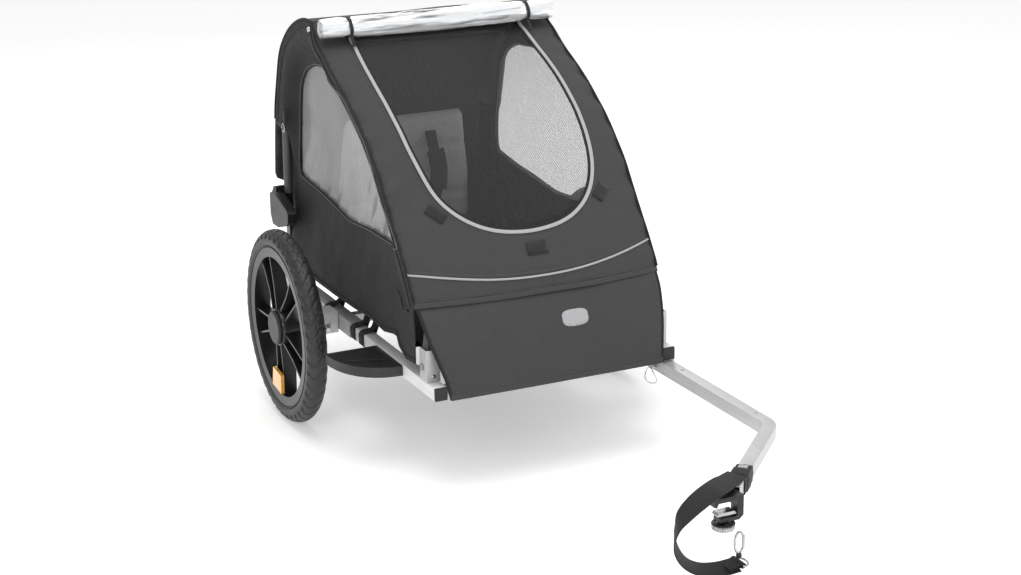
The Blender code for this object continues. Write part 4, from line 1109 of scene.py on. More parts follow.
def window_outline(margin=0.0):
    """The side window with its corners rounded, moved outwards by a margin."""
    rounded = []
    count = len(WINDOW)
    for i, corner in enumerate(WINDOW):
        here = Vector(corner)
        before = Vector(WINDOW[i - 1])
        after = Vector(WINDOW[(i + 1) % count])
        cut = min(0.016, (before - here).length * 0.4, (after - here).length * 0.4)
        a = here + (before - here).normalized() * cut
        b = here + (after - here).normalized() * cut
        for t in (0.0, 0.25, 0.5, 0.75, 1.0):
            rounded.append(a * (1 - t) ** 2 + here * 2 * t * (1 - t) + b * t * t)
    out = []
    count = len(rounded)
    for i, here in enumerate(rounded):
        ahead = (rounded[(i + 1) % count] - rounded[i - 1]).normalized()
        normal = Vector((ahead.y, -ahead.x))
        out.append(here + normal * margin)
    return [(p.x, p.y) for p in out]


def side_outline():
    """The side panel's outline in flat (y, z) coordinates, from the slope's foot over the arch and back."""
    spots = [(slope, 0.64 - 0.012 * i) for i in range(56)]
    spots += [(back, r) for r in np.arange(0.004, back_top_end(), 0.012)]
    top = []
    for profile, s in spots:
        y, z = profile.place(s)
        n = profile.outward(s)
        top.append((y - n.y * 0.002, z - n.z * 0.002))
    return top + SIDE_REAR + list(LOWER_EDGE)


def back_top_end():
    """How far down the rear profile the side fabric reaches before the open corner at the rear tube."""
    for r in np.arange(0.2, BACK_END, 0.002):
        if back.place(r)[1] < 0.556:
            return float(r)
    return 0.4


def make_sides():
    """Side fabric, window film, their tapes and welts, and stitches."""
    for side, sign in SIDES:

        def side_here(y, z, lift=0.0, sign=sign):
            return side_at(sign, y, z, lift)

        def film_here(y, z, sign=sign):
            return side_at(sign, y, z, -0.0026 + film_folds(y, z))

        wall = fabric(
            f"side_cloth_{side}", side_outline(), [window_outline(-0.001)],
            lambda y, z: side_here(y, z, -0.0008), 0.011, SIDE_CLOTH, CLOTH_THICKNESS, "side_fabric",
            f"side_panel_{side}"
        )
        fabric(
            f"side_film_{side}", window_outline(0.004), [], film_here, 0.01, WINDOW_FILM, 0.0, "vinyl",
            f"side_window_{side}"
        )
        outwards = Vector((sign, 0, 0))
        edge = [side_here(y, z, 0.0006) for y, z in resample(window_outline(0.0012), 0.012)]
        strip(f"window_edge_{side}", edge, strap_section(0.0042, 0.0026), up=outwards, closed=True)
        welt = [side_here(y, z, 0.0011) for y, z in resample(window_outline(0.0026), 0.012)]
        strip(f"window_welt_{side}", welt, round_section(0.001, 6), PIPING_DULL, closed=True)

        arch = side_outline()[: -len(SIDE_REAR) - len(LOWER_EDGE)]
        strip(f"corner_welt_{side}", [side_here(y, z, 0.0006) for y, z in arch], round_section(0.0023, 8))
        second = [side_here(y, z, 0.0004) for y, z in shifted(arch, 0.017)]
        strip(f"arch_welt_{side}", second, round_section(0.0014, 6))
        hem = [side_here(y, z, 0.0002) for y, z in resample(list(LOWER_EDGE), 0.014, closed=False)]
        strip(f"side_hem_{side}", hem, strap_section(0.01, 0.0034), up=outwards)
        paths = [shifted(arch, 0.0075), shifted(arch, 0.0215), window_outline(0.0075)]
        paths.append([(y, z + 0.0085) for y, z in LOWER_EDGE[:7]])
        soften(stitches(f"side_stitches_{side}", [(path, 0.0008) for path in paths], side_here))


def film_folds(y, z):
    """Soft upright folds in the loose window film, deepest near its lower edge."""
    depth = 0.0022 * bell(z, 0.44, 0.09)
    return -abs(depth * math.sin(y * 52.0 + z * 20.0 + 2.0 * math.sin(z * 14.0))) - 0.001


def shifted(path, amount):
    """A path moved sideways towards the middle of the side panel."""
    out = []
    for i, p in enumerate(path):
        a = Vector(path[max(i - 1, 0)])
        b = Vector(path[min(i + 1, len(path) - 1)])
        ahead = (b - a).normalized()
        normal = Vector((ahead.y, -ahead.x))
        if normal.dot(Vector((0.0, 0.5)) - Vector(p)) < 0:
            normal = -normal
        out.append((p[0] + normal.x * amount, p[1] + normal.y * amount))
    return out


# ---------------------------------------------------------------- rear panel


FLAP = [(-0.148, 0.4), (0.148, 0.4), (0.15, 0.465), (0.138, 0.477), (-0.138, 0.477), (-0.15, 0.465)]
POCKET = [(-0.146, 0.405), (0.146, 0.405), (0.146, 0.64), (0.136, 0.652), (-0.136, 0.652), (-0.146, 0.64)]

def make_back():
    """The rear panel with its seams, pocket and flap."""
    columns = [-1 + 2 * i / 36 for i in range(37)]
    outline = [(q * 0.26, 0.0) for q in columns] + [(q * 0.26, BACK_END) for q in reversed(columns)]

    def back_flat(x, r, lift):
        return back_at(x / 0.26, r, lift)

    rear = fabric(
        "rear_cloth", outline, [], lambda x, r: back_flat(x, r, -0.0008), 0.012, FRONT_CLOTH,
        CLOTH_THICKNESS, "side_fabric", "rear_panel"
    )
    for name, r, section in (
        ("rear_yoke_seam", 0.315, strap_section(0.006, 0.0024)),
        ("rear_hem", BACK_END - 0.004, strap_section(0.011, 0.0036))
    ):
        strip(name, [back_at(q, r, 0.0006) for q in columns], section, up=back.outward(r))
    rows = []
    for side, sign in SIDES:
        q = 0.62 * sign
        path = [back_at(q, 0.33 + 0.36 * i / 24, 0.0006) for i in range(25)]
        strip(f"rear_seam_{side}", path, strap_section(0.006, 0.0024), up=Vector((0, 1, 0.2)))
        for shift in (-0.012, 0.012):
            rows.append(([(q * 0.26 + shift * 0.4, 0.335 + 0.35 * i / 24) for i in range(25)], 0.0008))
    for shift in (-0.0065, 0.0065):
        rows.append(([(q * 0.25, 0.315 + shift) for q in columns], 0.0008))
        rows.append(([(q * 0.22, BACK_END - 0.016 + shift * 0.3) for q in columns], 0.0008))

    def bag_at(x, r):
        full = max(0.0, 1 - (abs(x) / 0.146) ** 3) * math.sin(math.pi * clamp((r - 0.4) / 0.26))
        return back_flat(x, r, 0.0022 + 0.012 * full)

    def flap_at(x, r):
        return back_flat(x, r, 0.0045)

    fabric("rear_pocket_flap", FLAP, [], flap_at, 0.012, SIDE_CLOTH, 0.0022, "side_fabric")
    fabric("rear_pocket", POCKET, [], bag_at, 0.012, SIDE_CLOTH, CLOTH_THICKNESS, "side_fabric")
    soften(stitches("rear_stitches", rows, back_flat))


# ---------------------------------------------------------------- rolled rain cover


ROLL_Y, ROLL_Z = 0.0195, 0.7968
ROLL_LENGTH = 0.512
TIES = (-0.196, 0.196)
TIE_TAIL = ((0, -0.012, -0.014), (0.001, -0.02, -0.026), (0, -0.0265, -0.036))
FILM_EDGE = [(-0.0003, -0.006), (0.0003, -0.006), (0.0003, 0.0005), (-0.0003, 0.0005)]

def make_roll():
    """The rolled rain cover: a crumpled roll with its ends, held by two elastics."""

    def round_roll(x, radius, angle):
        return at(x, ROLL_Y + radius * math.cos(angle), ROLL_Z + radius * math.sin(angle))

    columns, around = 96, 40
    rings = []
    for i in range(columns + 1):
        x = -ROLL_LENGTH / 2 + ROLL_LENGTH * i / columns
        swell = 0.0182 + 0.0034 * math.sin(math.pi * i / columns) ** 0.5
        for tie in TIES:
            swell -= 0.003 * bell(x, tie, 0.009)
        ring = []
        for k in range(around):
            angle = 2 * math.pi * k / around
            c, s = math.cos(angle), math.sin(angle)
            crumple = noise.noise(Vector((x * 9.0, c * 1.7, s * 1.7))) * 0.003
            crumple += abs(noise.noise(Vector((x * 16.0, c * 4.2, s * 4.2 + 4.0)))) * -0.0028
            ring.append(round_roll(x, swell + crumple + 0.0012 * k / around, angle))
        rings.append(ring)
    mesh = ring_mesh("rain_roll_film", rings, cap=False)
    pieces = [add_object("rain_roll_film", mesh, ROLL_FILM, ROOT, "vinyl", angle=50)]
    for sign in (-1, 1):
        end = sign * (ROLL_LENGTH / 2 - 0.0008)
        spiral = [round_roll(end, 0.017 * (1 - i / 78), i * 0.42) for i in range(70)]
        up = Vector((sign, 0, 0))
        pieces.append(sweep(f"roll_end_{sign:+.0f}", spiral, FILM_EDGE, ROLL_FILM, ROOT, "vinyl", up=up))
        core = at(sign * (ROLL_LENGTH / 2 - 0.006), ROLL_Y, ROLL_Z)
        disc = [(0.0, 0.0), (0.0165, 0.0), (0.0165, 0.0006), (0.0, 0.0006)]
        pieces.append(lathe(f"roll_core_{sign:+.0f}", core, up, disc, ROLL_FILM, ROOT, "vinyl", 28))
    whole = join("rain_roll", pieces)
    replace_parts(whole, "rain_cover_roll")
    soften(whole)

    ties = []
    for tie in TIES:
        turns = [2 * math.pi * k / 28 for k in range(28)]
        loop = [round_roll(tie + 0.0015 * math.sin(a * 2), 0.0193, a) for a in turns]
        up = [(p - at(tie, ROLL_Y, ROLL_Z)).normalized() for p in loop]
        band = strap_section(0.007, 0.0016)
        ties.append(sweep(f"tie_{tie:+.2f}", loop, band, ELASTIC, ROOT, "webbing", up=up, closed=True))
        tail = [at(tie + x, ROLL_Y + y, ROLL_Z + z) for x, y, z in TIE_TAIL]
        band, up = strap_section(0.007, 0.0014), Vector((0, -0.6, 0.8))
        tail = curve_through(tail, 4)
        ties.append(sweep(f"tie_tail_{tie:+.2f}", tail, band, ELASTIC, ROOT, "webbing", up=up))
    soften(join("roll_ties", ties))


# ---------------------------------------------------------------- seat and harness


# Harness routes on one side, mirrored for the other.
SHOULDER_ROUTE = (
    (0.054, 0.204, 0.52), (0.054, 0.196, 0.505), (0.054, 0.186, 0.48), (0.06, 0.18, 0.44),
    (0.054, 0.172, 0.395), (0.027, 0.162, 0.35)
)
SHOULDER_PAD = ((0.0552, 0.181, 0.482), (0.06, 0.175, 0.442), (0.054, 0.167, 0.398))
LAP_ROUTE = ((0.14, 0.205, 0.305), (0.12, 0.17, 0.312), (0.07, 0.155, 0.325), (0.02, 0.158, 0.34))
CROTCH_ROUTE = ((0, 0.035, 0.3), (0, 0.06, 0.306), (0, 0.11, 0.32), (0, 0.15, 0.338))

def swell_pad(name, outline_fn, size, voxel, pressure, cap, material, slot_name):
    """A pad: a rounded block filled by cloth simulation, with no point moving further than a cap."""
    obj = bpy.data.objects.new(name, from_bmesh(rounded_block(size, min(size) * 0.36), name))
    bpy.context.scene.collection.objects.link(obj)
    remesh = obj.modifiers.new("even", "REMESH")
    remesh.mode = "VOXEL"
    remesh.voxel_size = voxel
    bake(obj)

    def corners(mesh):
        flat = np.zeros(len(mesh.vertices) * 3)
        mesh.vertices.foreach_get("co", flat)
        return flat.reshape(-1, 3)

    start = corners(obj.data)
    fill = obj.modifiers.new("fill", "CLOTH").settings
    fill.use_pressure = True
    fill.uniform_pressure_force = pressure
    fill.effector_weights.gravity = 0.0
    fill.quality = 4
    fill.tension_stiffness = 20
    fill.compression_stiffness = 8
    fill.bending_stiffness = 0.6
    for f in range(1, 21):
        bpy.context.scene.frame_set(f)
    bpy.context.view_layer.update()
    move = corners(obj.evaluated_get(bpy.context.evaluated_depsgraph_get()).data) - start
    obj.modifiers.clear()
    far = np.linalg.norm(move, axis=1, keepdims=True)
    start = start + move * np.minimum(1.0, cap / np.maximum(far, 1e-9))
    bpy.context.scene.frame_set(1)
    placed = np.array([outline_fn(*p) for p in start])
    obj.data.vertices.foreach_set("co", placed.ravel())
    obj.data.update()
    sub = obj.modifiers.new("finer", "SUBSURF")
    sub.levels = sub.render_levels = 1
    bake(obj)
    obj.data.shade_smooth()
    obj.data.materials.clear()
    obj.data.materials.append(material)
    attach(obj, ROOT)
    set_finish(obj, slot_name)
    return obj


def make_seat():
    """Seat base and back pads with sewn channels, and a lap and shoulder harness."""
    half = 0.16
    lean = math.radians(8)

    def base_place(x, y, z):
        channel = 0.0035 * sum(bell(y, c, 0.008) for c in (-0.045, 0.045))
        sag = 0.006 * (1 - (x / half) ** 2) * bell(y, 0.0, 0.09)
        lift = z - (channel + sag if z > 0 else 0.0)
        return at(x, y + 0.075, 0.2795 + lift * 0.9)

    def back_place(x, y, z):
        channel = 0.0035 * sum(bell(z, c, 0.008) for c in (-0.06, 0.05))
        depth = y + (channel if y < 0 else 0.0)
        narrow = 1.0 - 0.1 * max(0.0, z + 0.02) / 0.13
        return at(x * narrow, 0.229 + depth - z * math.sin(lean) * 0.45, 0.433 + z * math.cos(lean))

    base = swell_pad(
        "seat_base_pad", base_place, (0.318, 0.262, 0.032), 0.0065, 3.0, 0.006, LINING, "seat_fabric"
    )
    rest = swell_pad(
        "seat_back_pad", back_place, (0.318, 0.024, 0.264), 0.0065, 3.0, 0.005, LINING, "seat_fabric"
    )
    for piece in (base, rest):
        soften(piece)
    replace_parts(base, "seat")

    belt = strap_section(0.025, 0.0018)
    parts = []

    def add_belt(name, points, section, up, material=STRAP):
        path = curve_through([at(*p) for p in points], 6)
        parts.append(sweep(name, path, section, material, ROOT, "webbing", up=Vector(up)))

    for sign in (-1, 1):
        shoulder = [(sign * x, y, z) for x, y, z in SHOULDER_ROUTE]
        add_belt(f"shoulder_{sign:+.0f}", shoulder, belt, (0, -1, 0.1))
        pad = [(sign * x, y, z) for x, y, z in SHOULDER_PAD]
        add_belt(f"shoulder_pad_{sign:+.0f}", pad, strap_section(0.04, 0.009, 5), (0, -1, 0.1), HOOK_TAPE)
        add_belt(f"lap_{sign:+.0f}", [(sign * x, y, z) for x, y, z in LAP_ROUTE], belt, (0, -0.4, 0.9))
    add_belt("crotch", CROTCH_ROUTE, belt, (0, -0.4, 0.9))
    bm = rounded_block((0.044, 0.014, 0.04), 0.005)
    bmesh.ops.rotate(bm, cent=(0, 0, 0), matrix=Euler((-0.35, 0, 0)).to_matrix(), verts=bm.verts)
    bmesh.ops.translate(bm, vec=at(0, 0.156, 0.345), verts=bm.verts)
    parts.append(add_object("buckle_body", from_bmesh(bm, "buckle_body"), BLACK, ROOT, "webbing"))
    soften(join("seat_harness", parts))


# ---------------------------------------------------------------- floor of the tub


# The rear gusset's path round the post, as (x, y) on one side.
GUSSET = ((0.233, 0.271), (0.229, 0.284), (0.227, 0.312))

def make_floor():
    """The tub's floor, its corners under the side hems, and the gussets that close the rear corners."""
    low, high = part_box("floor_panel")
    half = high.x

    def place(x, y):
        return Vector((x, y, high.z - 0.0004 + wrinkle((x, y, 0), 7.0, 0.001, 9.0)))

    def under(x, y):
        return Vector(
            (x, y, low.z + 0.0004 - 0.002 * (1 - (x / half) ** 2) + wrinkle((x, y, 1), 7.0, 0.0012, 8.0))
        )

    outline = [(-half, low.y), (half, low.y), (half, high.y), (-half, high.y)]
    top = panel("tub_floor_cloth", outline, [], place, 0.016, SIDE_CLOTH, 0.0, "floor")
    bottom = panel("tub_floor_under", outline, [], under, 0.016, SIDE_CLOTH, 0.0, "floor")
    edge = [Vector((x, y, (low.z + high.z) / 2)) for x, y in resample(outline, 0.03)]
    up = [Vector((p.x / half, 0, 0)) if abs(p.x) > half * 0.99 else Vector((0, 1, 0)) for p in edge]
    section = strap_section(0.0072, 0.0046)
    rim = sweep("tub_floor_edge", edge, section, TRIM, ROOT, "floor", up=up, closed=True)
    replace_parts(join("tub_floor", [top, bottom, rim]), "floor_panel")

    for side, sign in SIDES:
        rows = []
        for i in range(25):
            z = 0.247 + (0.548 - 0.247) * i / 24
            route = [side_at(sign, 0.26, z, -0.003)] + [at(sign * x, y, z) for x, y in GUSSET]
            y_back = float(np.interp(z, back.z[::-1], back.y[::-1])) - 0.0015
            route.append(at(sign * 0.2268, y_back, z))
            rows.append(curve_through(route, 3))
        soften(row_sheet(f"rear_gusset_{side}", rows, lambda p: (p.y + p.x, p.z)))

    for side, sign in SIDES:
        rows = []
        for i in range(15):
            y = -0.385 + 0.045 * i
            a, b = at(sign * 0.228, y, 0.2535), side_at(sign, y, 0.262, -0.003)
            steps = (0, 0.25, 0.5, 0.75, 1.0)
            rows.append([a.lerp(b, t) - Vector((0, 0, 0.004 * math.sin(math.pi * t))) for t in steps])
        row_sheet(f"tub_corner_{side}", rows, lambda p: (p.x, p.y))


# ---------------------------------------------------------------- wheels


TYRE_TURNS, TYRE_STEPS = 792, 40
TYRE_INSIDE = ((0.162, 0.014), (0.1595, 0.008), (0.1595, -0.008), (0.162, -0.014))
VALVE_PROFILE = [
    (0, -0.006), (0.0032, -0.006), (0.0032, 0.012), (0.0028, 0.013), (0.0028, 0.024), (0, 0.024)
]

def tread_depth(lug, degrees):
    """How deep the tyre's surface lies at a place on its section, lug counting lugs along the tyre."""
    w = degrees / 62.0
    if abs(w) < 0.86:
        phase = (lug - 0.36 * math.sin(w * math.pi * 0.95)) % 1.0
        zig = abs(lug % 1.0 - 0.5) * 0.34 - 0.085
        return 0.0022 * bell(phase, 0.5, 0.075) + 0.0014 * bell(w, zig, 0.055)
    if abs(w) < 1.32:
        phase = (lug + (0.5 if w > 0 else 0.0)) % 1.0
        return 0.0026 / (1 + math.exp(-(abs(phase - 0.5) - 0.3) * 60))
    return 0.00035 * (0.5 + 0.5 * math.cos((abs(w) - 1.45) * 38.0))


def tyre_section():
    """The tyre's section from bead to bead: (radius, distance across, angle in degrees)."""
    section = []
    for k in range(TYRE_STEPS):
        degrees = -152 + 304 * k / (TYRE_STEPS - 1)
        angle = math.radians(degrees)
        across = 0.0218 * math.sin(angle)
        if abs(angle) > math.radians(125):
            across = math.copysign(min(abs(across), 0.0165), across)
        section.append((0.1785 + 0.0212 * math.cos(angle), across, degrees))
    return section


def make_tyres():
    """Tyres with a cut tread, a moulded line at the bead, and the valves."""
    section = tyre_section()
    for side, sign in SIDES:
        body = f"wheel_{side}_body"
        centre = at(sign * 0.365, 0, 0.2)
        rings = []
        for i in range(TYRE_TURNS):
            theta = 2 * math.pi * i / TYRE_TURNS
            radial = Vector((0, math.cos(theta), math.sin(theta)))
            ring = []
            for out, across, degrees in section:
                depth = tread_depth(i / TYRE_TURNS * 44, degrees)
                angle = math.radians(degrees)
                a = across - depth * math.sin(angle)
                ring.append(centre + radial * (out - depth * math.cos(angle)) + Vector((sign * a, 0, 0)))
            ring += [centre + radial * r + Vector((sign * a, 0, 0)) for r, a in TYRE_INSIDE]
            rings.append(ring)
        name = f"tyre_tread_{side}"
        mesh = ring_mesh(name, rings, closed=True)
        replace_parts(add_object(name, mesh, TYRE_RUBBER, body, "tyre", angle=38), f"tyre_{side}")
        line = ellipse(centre + Vector((sign * 0.0192, 0, 0)), (0, 0.1662, 0), (0, 0, 0.1662), 96)
        tube(f"tyre_bead_line_{side}", line, 0.0012, TYRE_RUBBER, body, "tyre", closed=True, sides=6)
        out = Vector((0, math.cos(2.2), math.sin(2.2)))
        foot = centre + Vector((0, 0.15 * math.cos(2.2), 0.15 * math.sin(2.2)))
        lathe(f"valve_{side}", foot, -out, VALVE_PROFILE, BLACK, body, "wheel_plastic", 14)


# ---------------------------------------------------------------- metal and plastic parts


# CAD nodes that keep their shape, with their finish and edge radius.
PAIR_FINISHES = (
    ("front_rail", RAIL_METAL, 0.001), ("front_socket", POST_METAL, 0.0007), ("rail_cap", BLACK, 0.0014),
    ("fender_plate", GREY_PLASTIC, 0.0016), ("socket_bolt", ZINC, 0.0005), ("rear_post", HOOP_METAL, 0.001),
    ("lock_bracket", BLACK, 0.0022), ("lock_lever", BLACK, 0.0014), ("axle_receiver", SLEEVE_METAL, 0.0),
    ("wheel_axle", BRIGHT, 0.0003), ("wheel_release_pin", ZINC, 0.0005), ("wheel", WHEEL_PLASTIC, 0.0008),
    ("hub_cap", GREY_PLASTIC, 0.001), ("spoke_reflector", AMBER, 0.0012), ("top_rivet", BRIGHT, 0.0006)
)
SINGLE_FINISHES = (
    (("front_cross_tube", "axle_cross_tube", "rear_cross_tube"), CROSS_METAL, 0.001),
    (("front_hoop", "rear_hoop"), HOOP_METAL, 0.0), (("tow_arm",), ARM_METAL, 0.0016),
    (("arm_bracket",), POST_METAL, 0.0005), (("arm_pivot_bolt", "arm_lock_pin", "hitch_jaw"), ZINC, 0.0004),
    (("hitch_clamp",), BLACK, 0.0012)
)

def dress(names, material, width=0.0006, angle=35):
    """Gives CAD nodes their finish and small edge radii."""
    for name in names:
        obj = nodes[name]
        obj.data.materials.clear()
        obj.data.materials.append(material)
        for p in obj.data.polygons:
            p.material_index = 0
        weld = obj.modifiers.new("weld", "WELD")
        weld.merge_threshold = 1e-5
        if width:
            bevel = obj.modifiers.new("edges", "BEVEL")
            bevel.width = width
            bevel.segments = 2
            bevel.limit_method = "ANGLE"
            bevel.angle_limit = math.radians(angle)
            bevel.harden_normals = False
        obj.data.shade_smooth()
        obj.modifiers.new("normals", "WEIGHTED_NORMAL").keep_sharp = True


def finish_cad():
    """Dresses the CAD parts that stay visible."""
    for stem, material, width in PAIR_FINISHES:
        dress([f"{stem}_{side}" for side, _ in SIDES], material, width)
    for names, material, width in SINGLE_FINISHES:
        dress(names, material, width)


def rail_outline(half, depth):
    """The rear rail's square section with four grooves of a depth in each side."""
    points = []
    corners = ((1, 1), (-1, 1), (-1, -1), (1, -1))
    for c in range(4):
        a, b = Vector(corners[c]), Vector(corners[(c + 1) % 4])
        chamfer = 0.0016 / half / 2
        points.append(a.lerp(b, chamfer) * half)
        normal = ((a + b) / 2).normalized()
        for centre in (-0.0085, -0.0028, 0.0028, 0.0085):
            for w, cut in ((-0.0013, 0.0), (-0.0008, depth), (0.0008, depth), (0.0013, 0.0)):
                points.append(a.lerp(b, 0.5 + (centre + w) / (2 * half)) * half - normal * cut)
        points.append(b.lerp(a, chamfer) * half)
    return points


def make_rear_rails():
    """The rear rails as extrusions, hollow at the rear, with shallow grooves behind the axle."""
    inner = 0.013
    for side, sign in SIDES:
        low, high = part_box(f"rear_rail_{side}")
        cx, cz = (low.x + high.x) / 2, (low.z + high.z) / 2
        half = (high.x - low.x) / 2
        plain, cut = rail_outline(half, 0.0), rail_outline(half, 0.0008)
        start, end = low.y, high.y
        change = AXLE_Y - 0.008
        rings = []
        for y, shape in ((start, plain), (change, plain), (change + 0.0015, cut), (end, cut)):
            rings.append([Vector((cx + p.x * sign, y, cz + p.y)) for p in shape])
        mouth = [(cx + p.x / half * inner * sign, cz + p.y / half * inner) for p in plain]
        hollow = [[Vector((x, y, z)) for x, z in mouth] for y in (start, end, end - 0.05)]
        name = f"rear_rail_profile_{side}"
        mesh = ring_mesh(name, hollow[:1] + rings + hollow[1:], cap=False)
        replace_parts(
            add_object(name, mesh, SLEEVE_METAL, ROOT, "silver_tube", angle=25), f"rear_rail_{side}"
        )


# Each rail strap has a band over the rail and one under it. A route's point holds shares of the rail's reach
# sideways and upwards, with distances along the rail and upwards: (sideways, along, upwards, above).
OVER_RAIL = (
    (1, 0, -0.4, 0), (1, 0, 0.55, 0), (0.55, -0.002, 1, 0.0006), (-0.2, -0.006, 1, 0.005),
    (-1, -0.014, 1, 0.02), (-1.35, -0.02, 1, 0.036)
)
OVER_FACING = ((1, 0, 0), (1, 0, 0.2), (0.4, 0, 1), (0, 0, 1), (0.7, -0.2, 0.7), (1, -0.2, 0.3))
UNDER_RAIL = (
    (1, 0, -0.38, 0), (0.9, 0, -0.92, 0), (0, 0, -1, -0.0004), (-0.9, 0, -0.92, 0), (-1, 0, 0, 0),
    (-1.02, 0, 1, 0), (-1.2, -0.01, 1, 0.022), (-1.3, -0.016, 1, 0.037)
)
UNDER_FACING = ((1, 0, 0), (1, 0, -1), (0, 0, -1), (-1, 0, -1)) + ((-1, 0, 0),) * 4

def make_rail_straps():
    """Webbing that ties the tub's lower edge down to the rails."""
    section = strap_section(0.025, 0.003)
    x, z = 0.2425, 0.19735
    for side, sign in SIDES:
        loops = []
        for i, place in enumerate((-0.143, -0.097, 0.046)):
            out = 0.0139 + (0.0036 if place > -0.09 else 0.0)
            for letter, route, facing, per in (
                ("a", OVER_RAIL, OVER_FACING, 5), ("b", UNDER_RAIL, UNDER_FACING, 4)
            ):
                path = [at(sign * (x + a * out), place + b, z + c * out + d) for a, b, c, d in route]
                up = curve_through([(sign * p[0], p[1], p[2]) for p in facing], per)
                name = f"tie_{letter}_{i}_{side}"
                loops.append(sweep(name, curve_through(path, per), section, STRAP, ROOT, "webbing", up=up))
        join(f"rail_straps_{side}", loops)


KNOB_BODY = "hitch_knob_body"
KNOB_CENTRE = at(0.0005, -1.103, 0.1165)
KNOB_TEETH = 30
KNOB_PROFILE = (
    (0, 0), (0.015, 0), (0.0188, 0.0012), (0.02, 0.003), (0.02, 0.0085), (0.0186, 0.0105), (0.013, 0.012),
    (0.0085, 0.0142), (0.004, 0.0142), (0.004, 0.0272), (0, 0.0272)
)
RIM_PROFILE = [
    (0.0162, 0.0108), (0.0197, 0.01), (0.0203, 0.0112), (0.0192, 0.0128), (0.015, 0.0132), (0.014, 0.0124)
]

def make_knob():
    """The knurled clamp knob with its screw, and the rim of its cap."""
    rings = []
    count = KNOB_TEETH * 6
    for i in range(count):
        turn = 2 * math.pi * i / count
        wave = 0.5 - 0.5 * math.cos(turn * KNOB_TEETH)
        ring = []
        for r, a in KNOB_PROFILE:
            cut = 0.0011 * wave if r > 0.018 else 0.0
            thread = 0.00025 * math.sin(a * 4200 + turn) if 0.015 < a and 0 < r < 0.006 else 0.0
            reach = r - cut + thread
            ring.append(KNOB_CENTRE + Vector((math.cos(turn) * reach, math.sin(turn) * reach, a)))
        rings.append(ring)
    mesh = spun_mesh("hitch_knob_knurled", rings, fill=False)
    knob = add_object("hitch_knob_knurled", mesh, ZINC, KNOB_BODY, "zinc", angle=40)
    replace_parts(knob, "hitch_knob")
    up = (0, 0, 1)
    lathe(
        "hitch_knob_rim", KNOB_CENTRE, up, RIM_PROFILE, BLACK, KNOB_BODY, "black_plastic", 48, closed=True
    )


ARM_HALF = 0.0127
ARM_RIVET = [(0, 0.0018), (0.002, 0.0016), (0.0034, 0.0006), (0.0036, -0.0002)]
SOCKET_RIVET = [(0, 0.0022), (0.0026, 0.0019), (0.0044, 0.0006), (0.0047, -0.0004)]
CORNER_HOOK = (
    (0.262, -0.372, 0.352), (0.264, -0.378, 0.344), (0.2645, -0.386, 0.334), (0.264, -0.396, 0.33),
    (0.2625, -0.405, 0.334)
)
CORNER_ELASTIC = ((0.261, -0.352, 0.362), (0.2625, -0.362, 0.358), (0.2625, -0.374, 0.35))

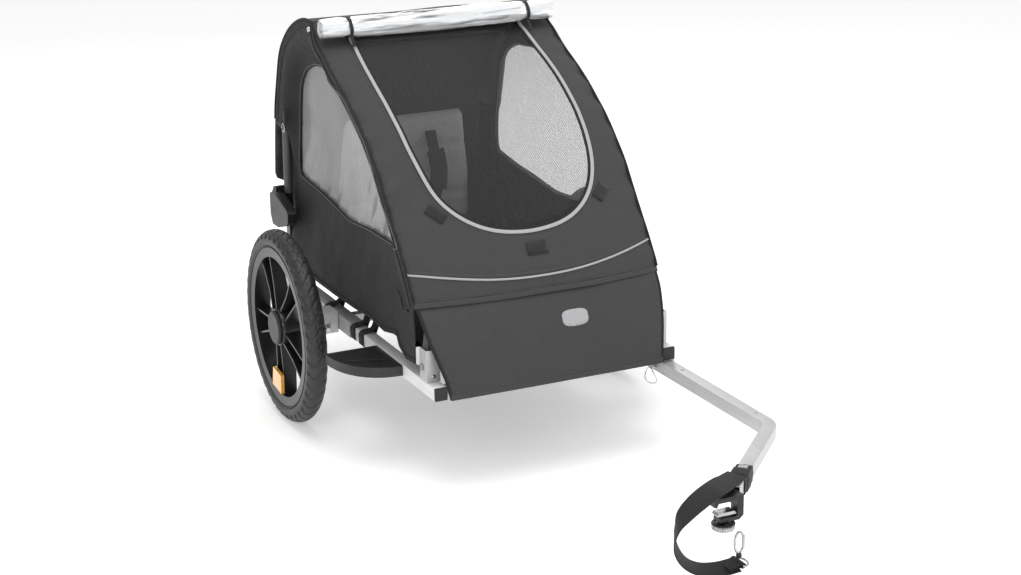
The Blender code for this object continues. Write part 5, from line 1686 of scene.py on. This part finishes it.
def make_arm_parts():
    """The strap wrapped round the arm with its label, the lock pin's wire loop and the arm's rivets."""
    direction = Vector((-math.sqrt(0.5), -math.sqrt(0.5), 0))
    side_way = Vector((-direction.y, direction.x, 0))
    arm_low, arm_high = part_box("tow_arm")
    z = (arm_low.z + arm_high.z) / 2
    end = at(0.2425, -0.87, z) + direction * 0.3
    wraps = []
    for shift, grow in ((0.074, 0.0), (0.06, 0.0014), (0.046, 0.0004)):
        centre = end - direction * shift
        path = []
        for i in range(32):
            angle = 2 * math.pi * i / 32
            c, s = math.cos(angle), math.sin(angle)
            k = (ARM_HALF + 0.0016 + grow) / max(abs(c), abs(s)) * (1 - 0.06 * (abs(c * s) * 2))
            path.append(centre + side_way * c * k + Vector((0, 0, s * k)))
        up = [(p - centre).normalized() for p in path]
        section = strap_section(0.036 - grow * 3, 0.0018)
        name = f"arm_wrap_{shift}"
        wraps.append(sweep(name, path, section, STRAP, ARM_BODY, "webbing", up=up, closed=True))
    label = end - direction * 0.078 + Vector((0, 0, ARM_HALF + 0.004))
    patch = [
        label + side_way * (0.008 * (i / 5 - 1)) + Vector((0, 0, -0.0003 * (i - 5) ** 2 / 25))
        for i in range(11)
    ]
    section, up = strap_section(0.013, 0.0008), Vector((0, 0, 1))
    wraps.append(sweep("arm_wrap_label", patch, section, PIPING, ARM_BODY, "webbing", up=up))
    join("arm_strap_wrap", wraps)

    top = at(0.2425, -0.475, z)
    loop = []
    for i in range(30):
        angle = 2 * math.pi * i / 30
        drop = -0.019 + 0.0185 * math.cos(angle)
        loop.append(top + Vector((-0.0215 + 0.0045 * math.sin(angle * 2), 0.019 * math.sin(angle), drop)))
    tube("lock_pin_wire", loop, 0.0009, BRIGHT, "arm_lock_pin_body", "zinc", closed=True, sides=6)
    for i, y in enumerate((-0.82, -0.56)):
        place = at(0.2425, y, z + ARM_HALF)
        lathe(f"arm_rivet_{i}", place, (0, 0, 1), ARM_RIVET, ZINC, ARM_BODY, "zinc", 18)


def make_small_parts():
    """The ring beside the window, socket rivets, fender ribs, and the corner hooks with their elastics."""
    loop = ellipse(at(-0.2638, 0.252, 0.552), (0, 0.007, 0), (0, 0, 0.009), 20)
    soften(tube("side_ring_right", loop, 0.0012, BRIGHT, ROOT, "zinc", closed=True, sides=6))
    tab = curve_through([at(-0.2612, 0.252, z) for z in (0.557, 0.572, 0.589)], 4)
    strip("side_tab_right", tab, strap_section(0.012, 0.0014), STRAP, "webbing", Vector((-1, 0, 0)))

    for side, sign in SIDES:
        low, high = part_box(f"front_socket_{side}")
        face = Vector(((low.x + high.x) / 2, low.y, low.z + 0.011))
        lathe(f"socket_rivet_{side}", face, (0, -1, 0), SOCKET_RIVET, ZINC, ROOT, "zinc", 18)
        low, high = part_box(f"fender_plate_{side}")
        inner = high.x if sign < 0 else low.x
        rib = []
        for i in range(7):
            rib.append(
                Vector((inner + sign * (0.01 + 0.012 * i), low.y + 0.046 + 0.0045 * i, high.z + 0.0002))
            )
        section, up = strap_section(0.0022, 0.0012), Vector((0, 0, 1))
        sweep(f"fender_rib_{side}", rib, section, GREY_PLASTIC, ROOT, "black_plastic", up=up)
        hook = curve_through([at(sign * x, y, z) for x, y, z in CORNER_HOOK], 5)
        soften(tube(f"corner_hook_{side}", hook, 0.0024, BLACK, ROOT, "black_plastic"))
        cord = curve_through([at(sign * x, y, z) for x, y, z in CORNER_ELASTIC], 4)
        soften(tube(f"corner_elastic_{side}", cord, 0.0018, ELASTIC, ROOT, "webbing"))


make_stage()
make_safety_strap()
make_front_cover()
make_lower_panel()
make_sides()
make_back()
make_roll()
make_seat()
make_floor()
make_tyres()
finish_cad()
make_rear_rails()
make_rail_straps()
make_knob()
make_arm_parts()
make_small_parts()
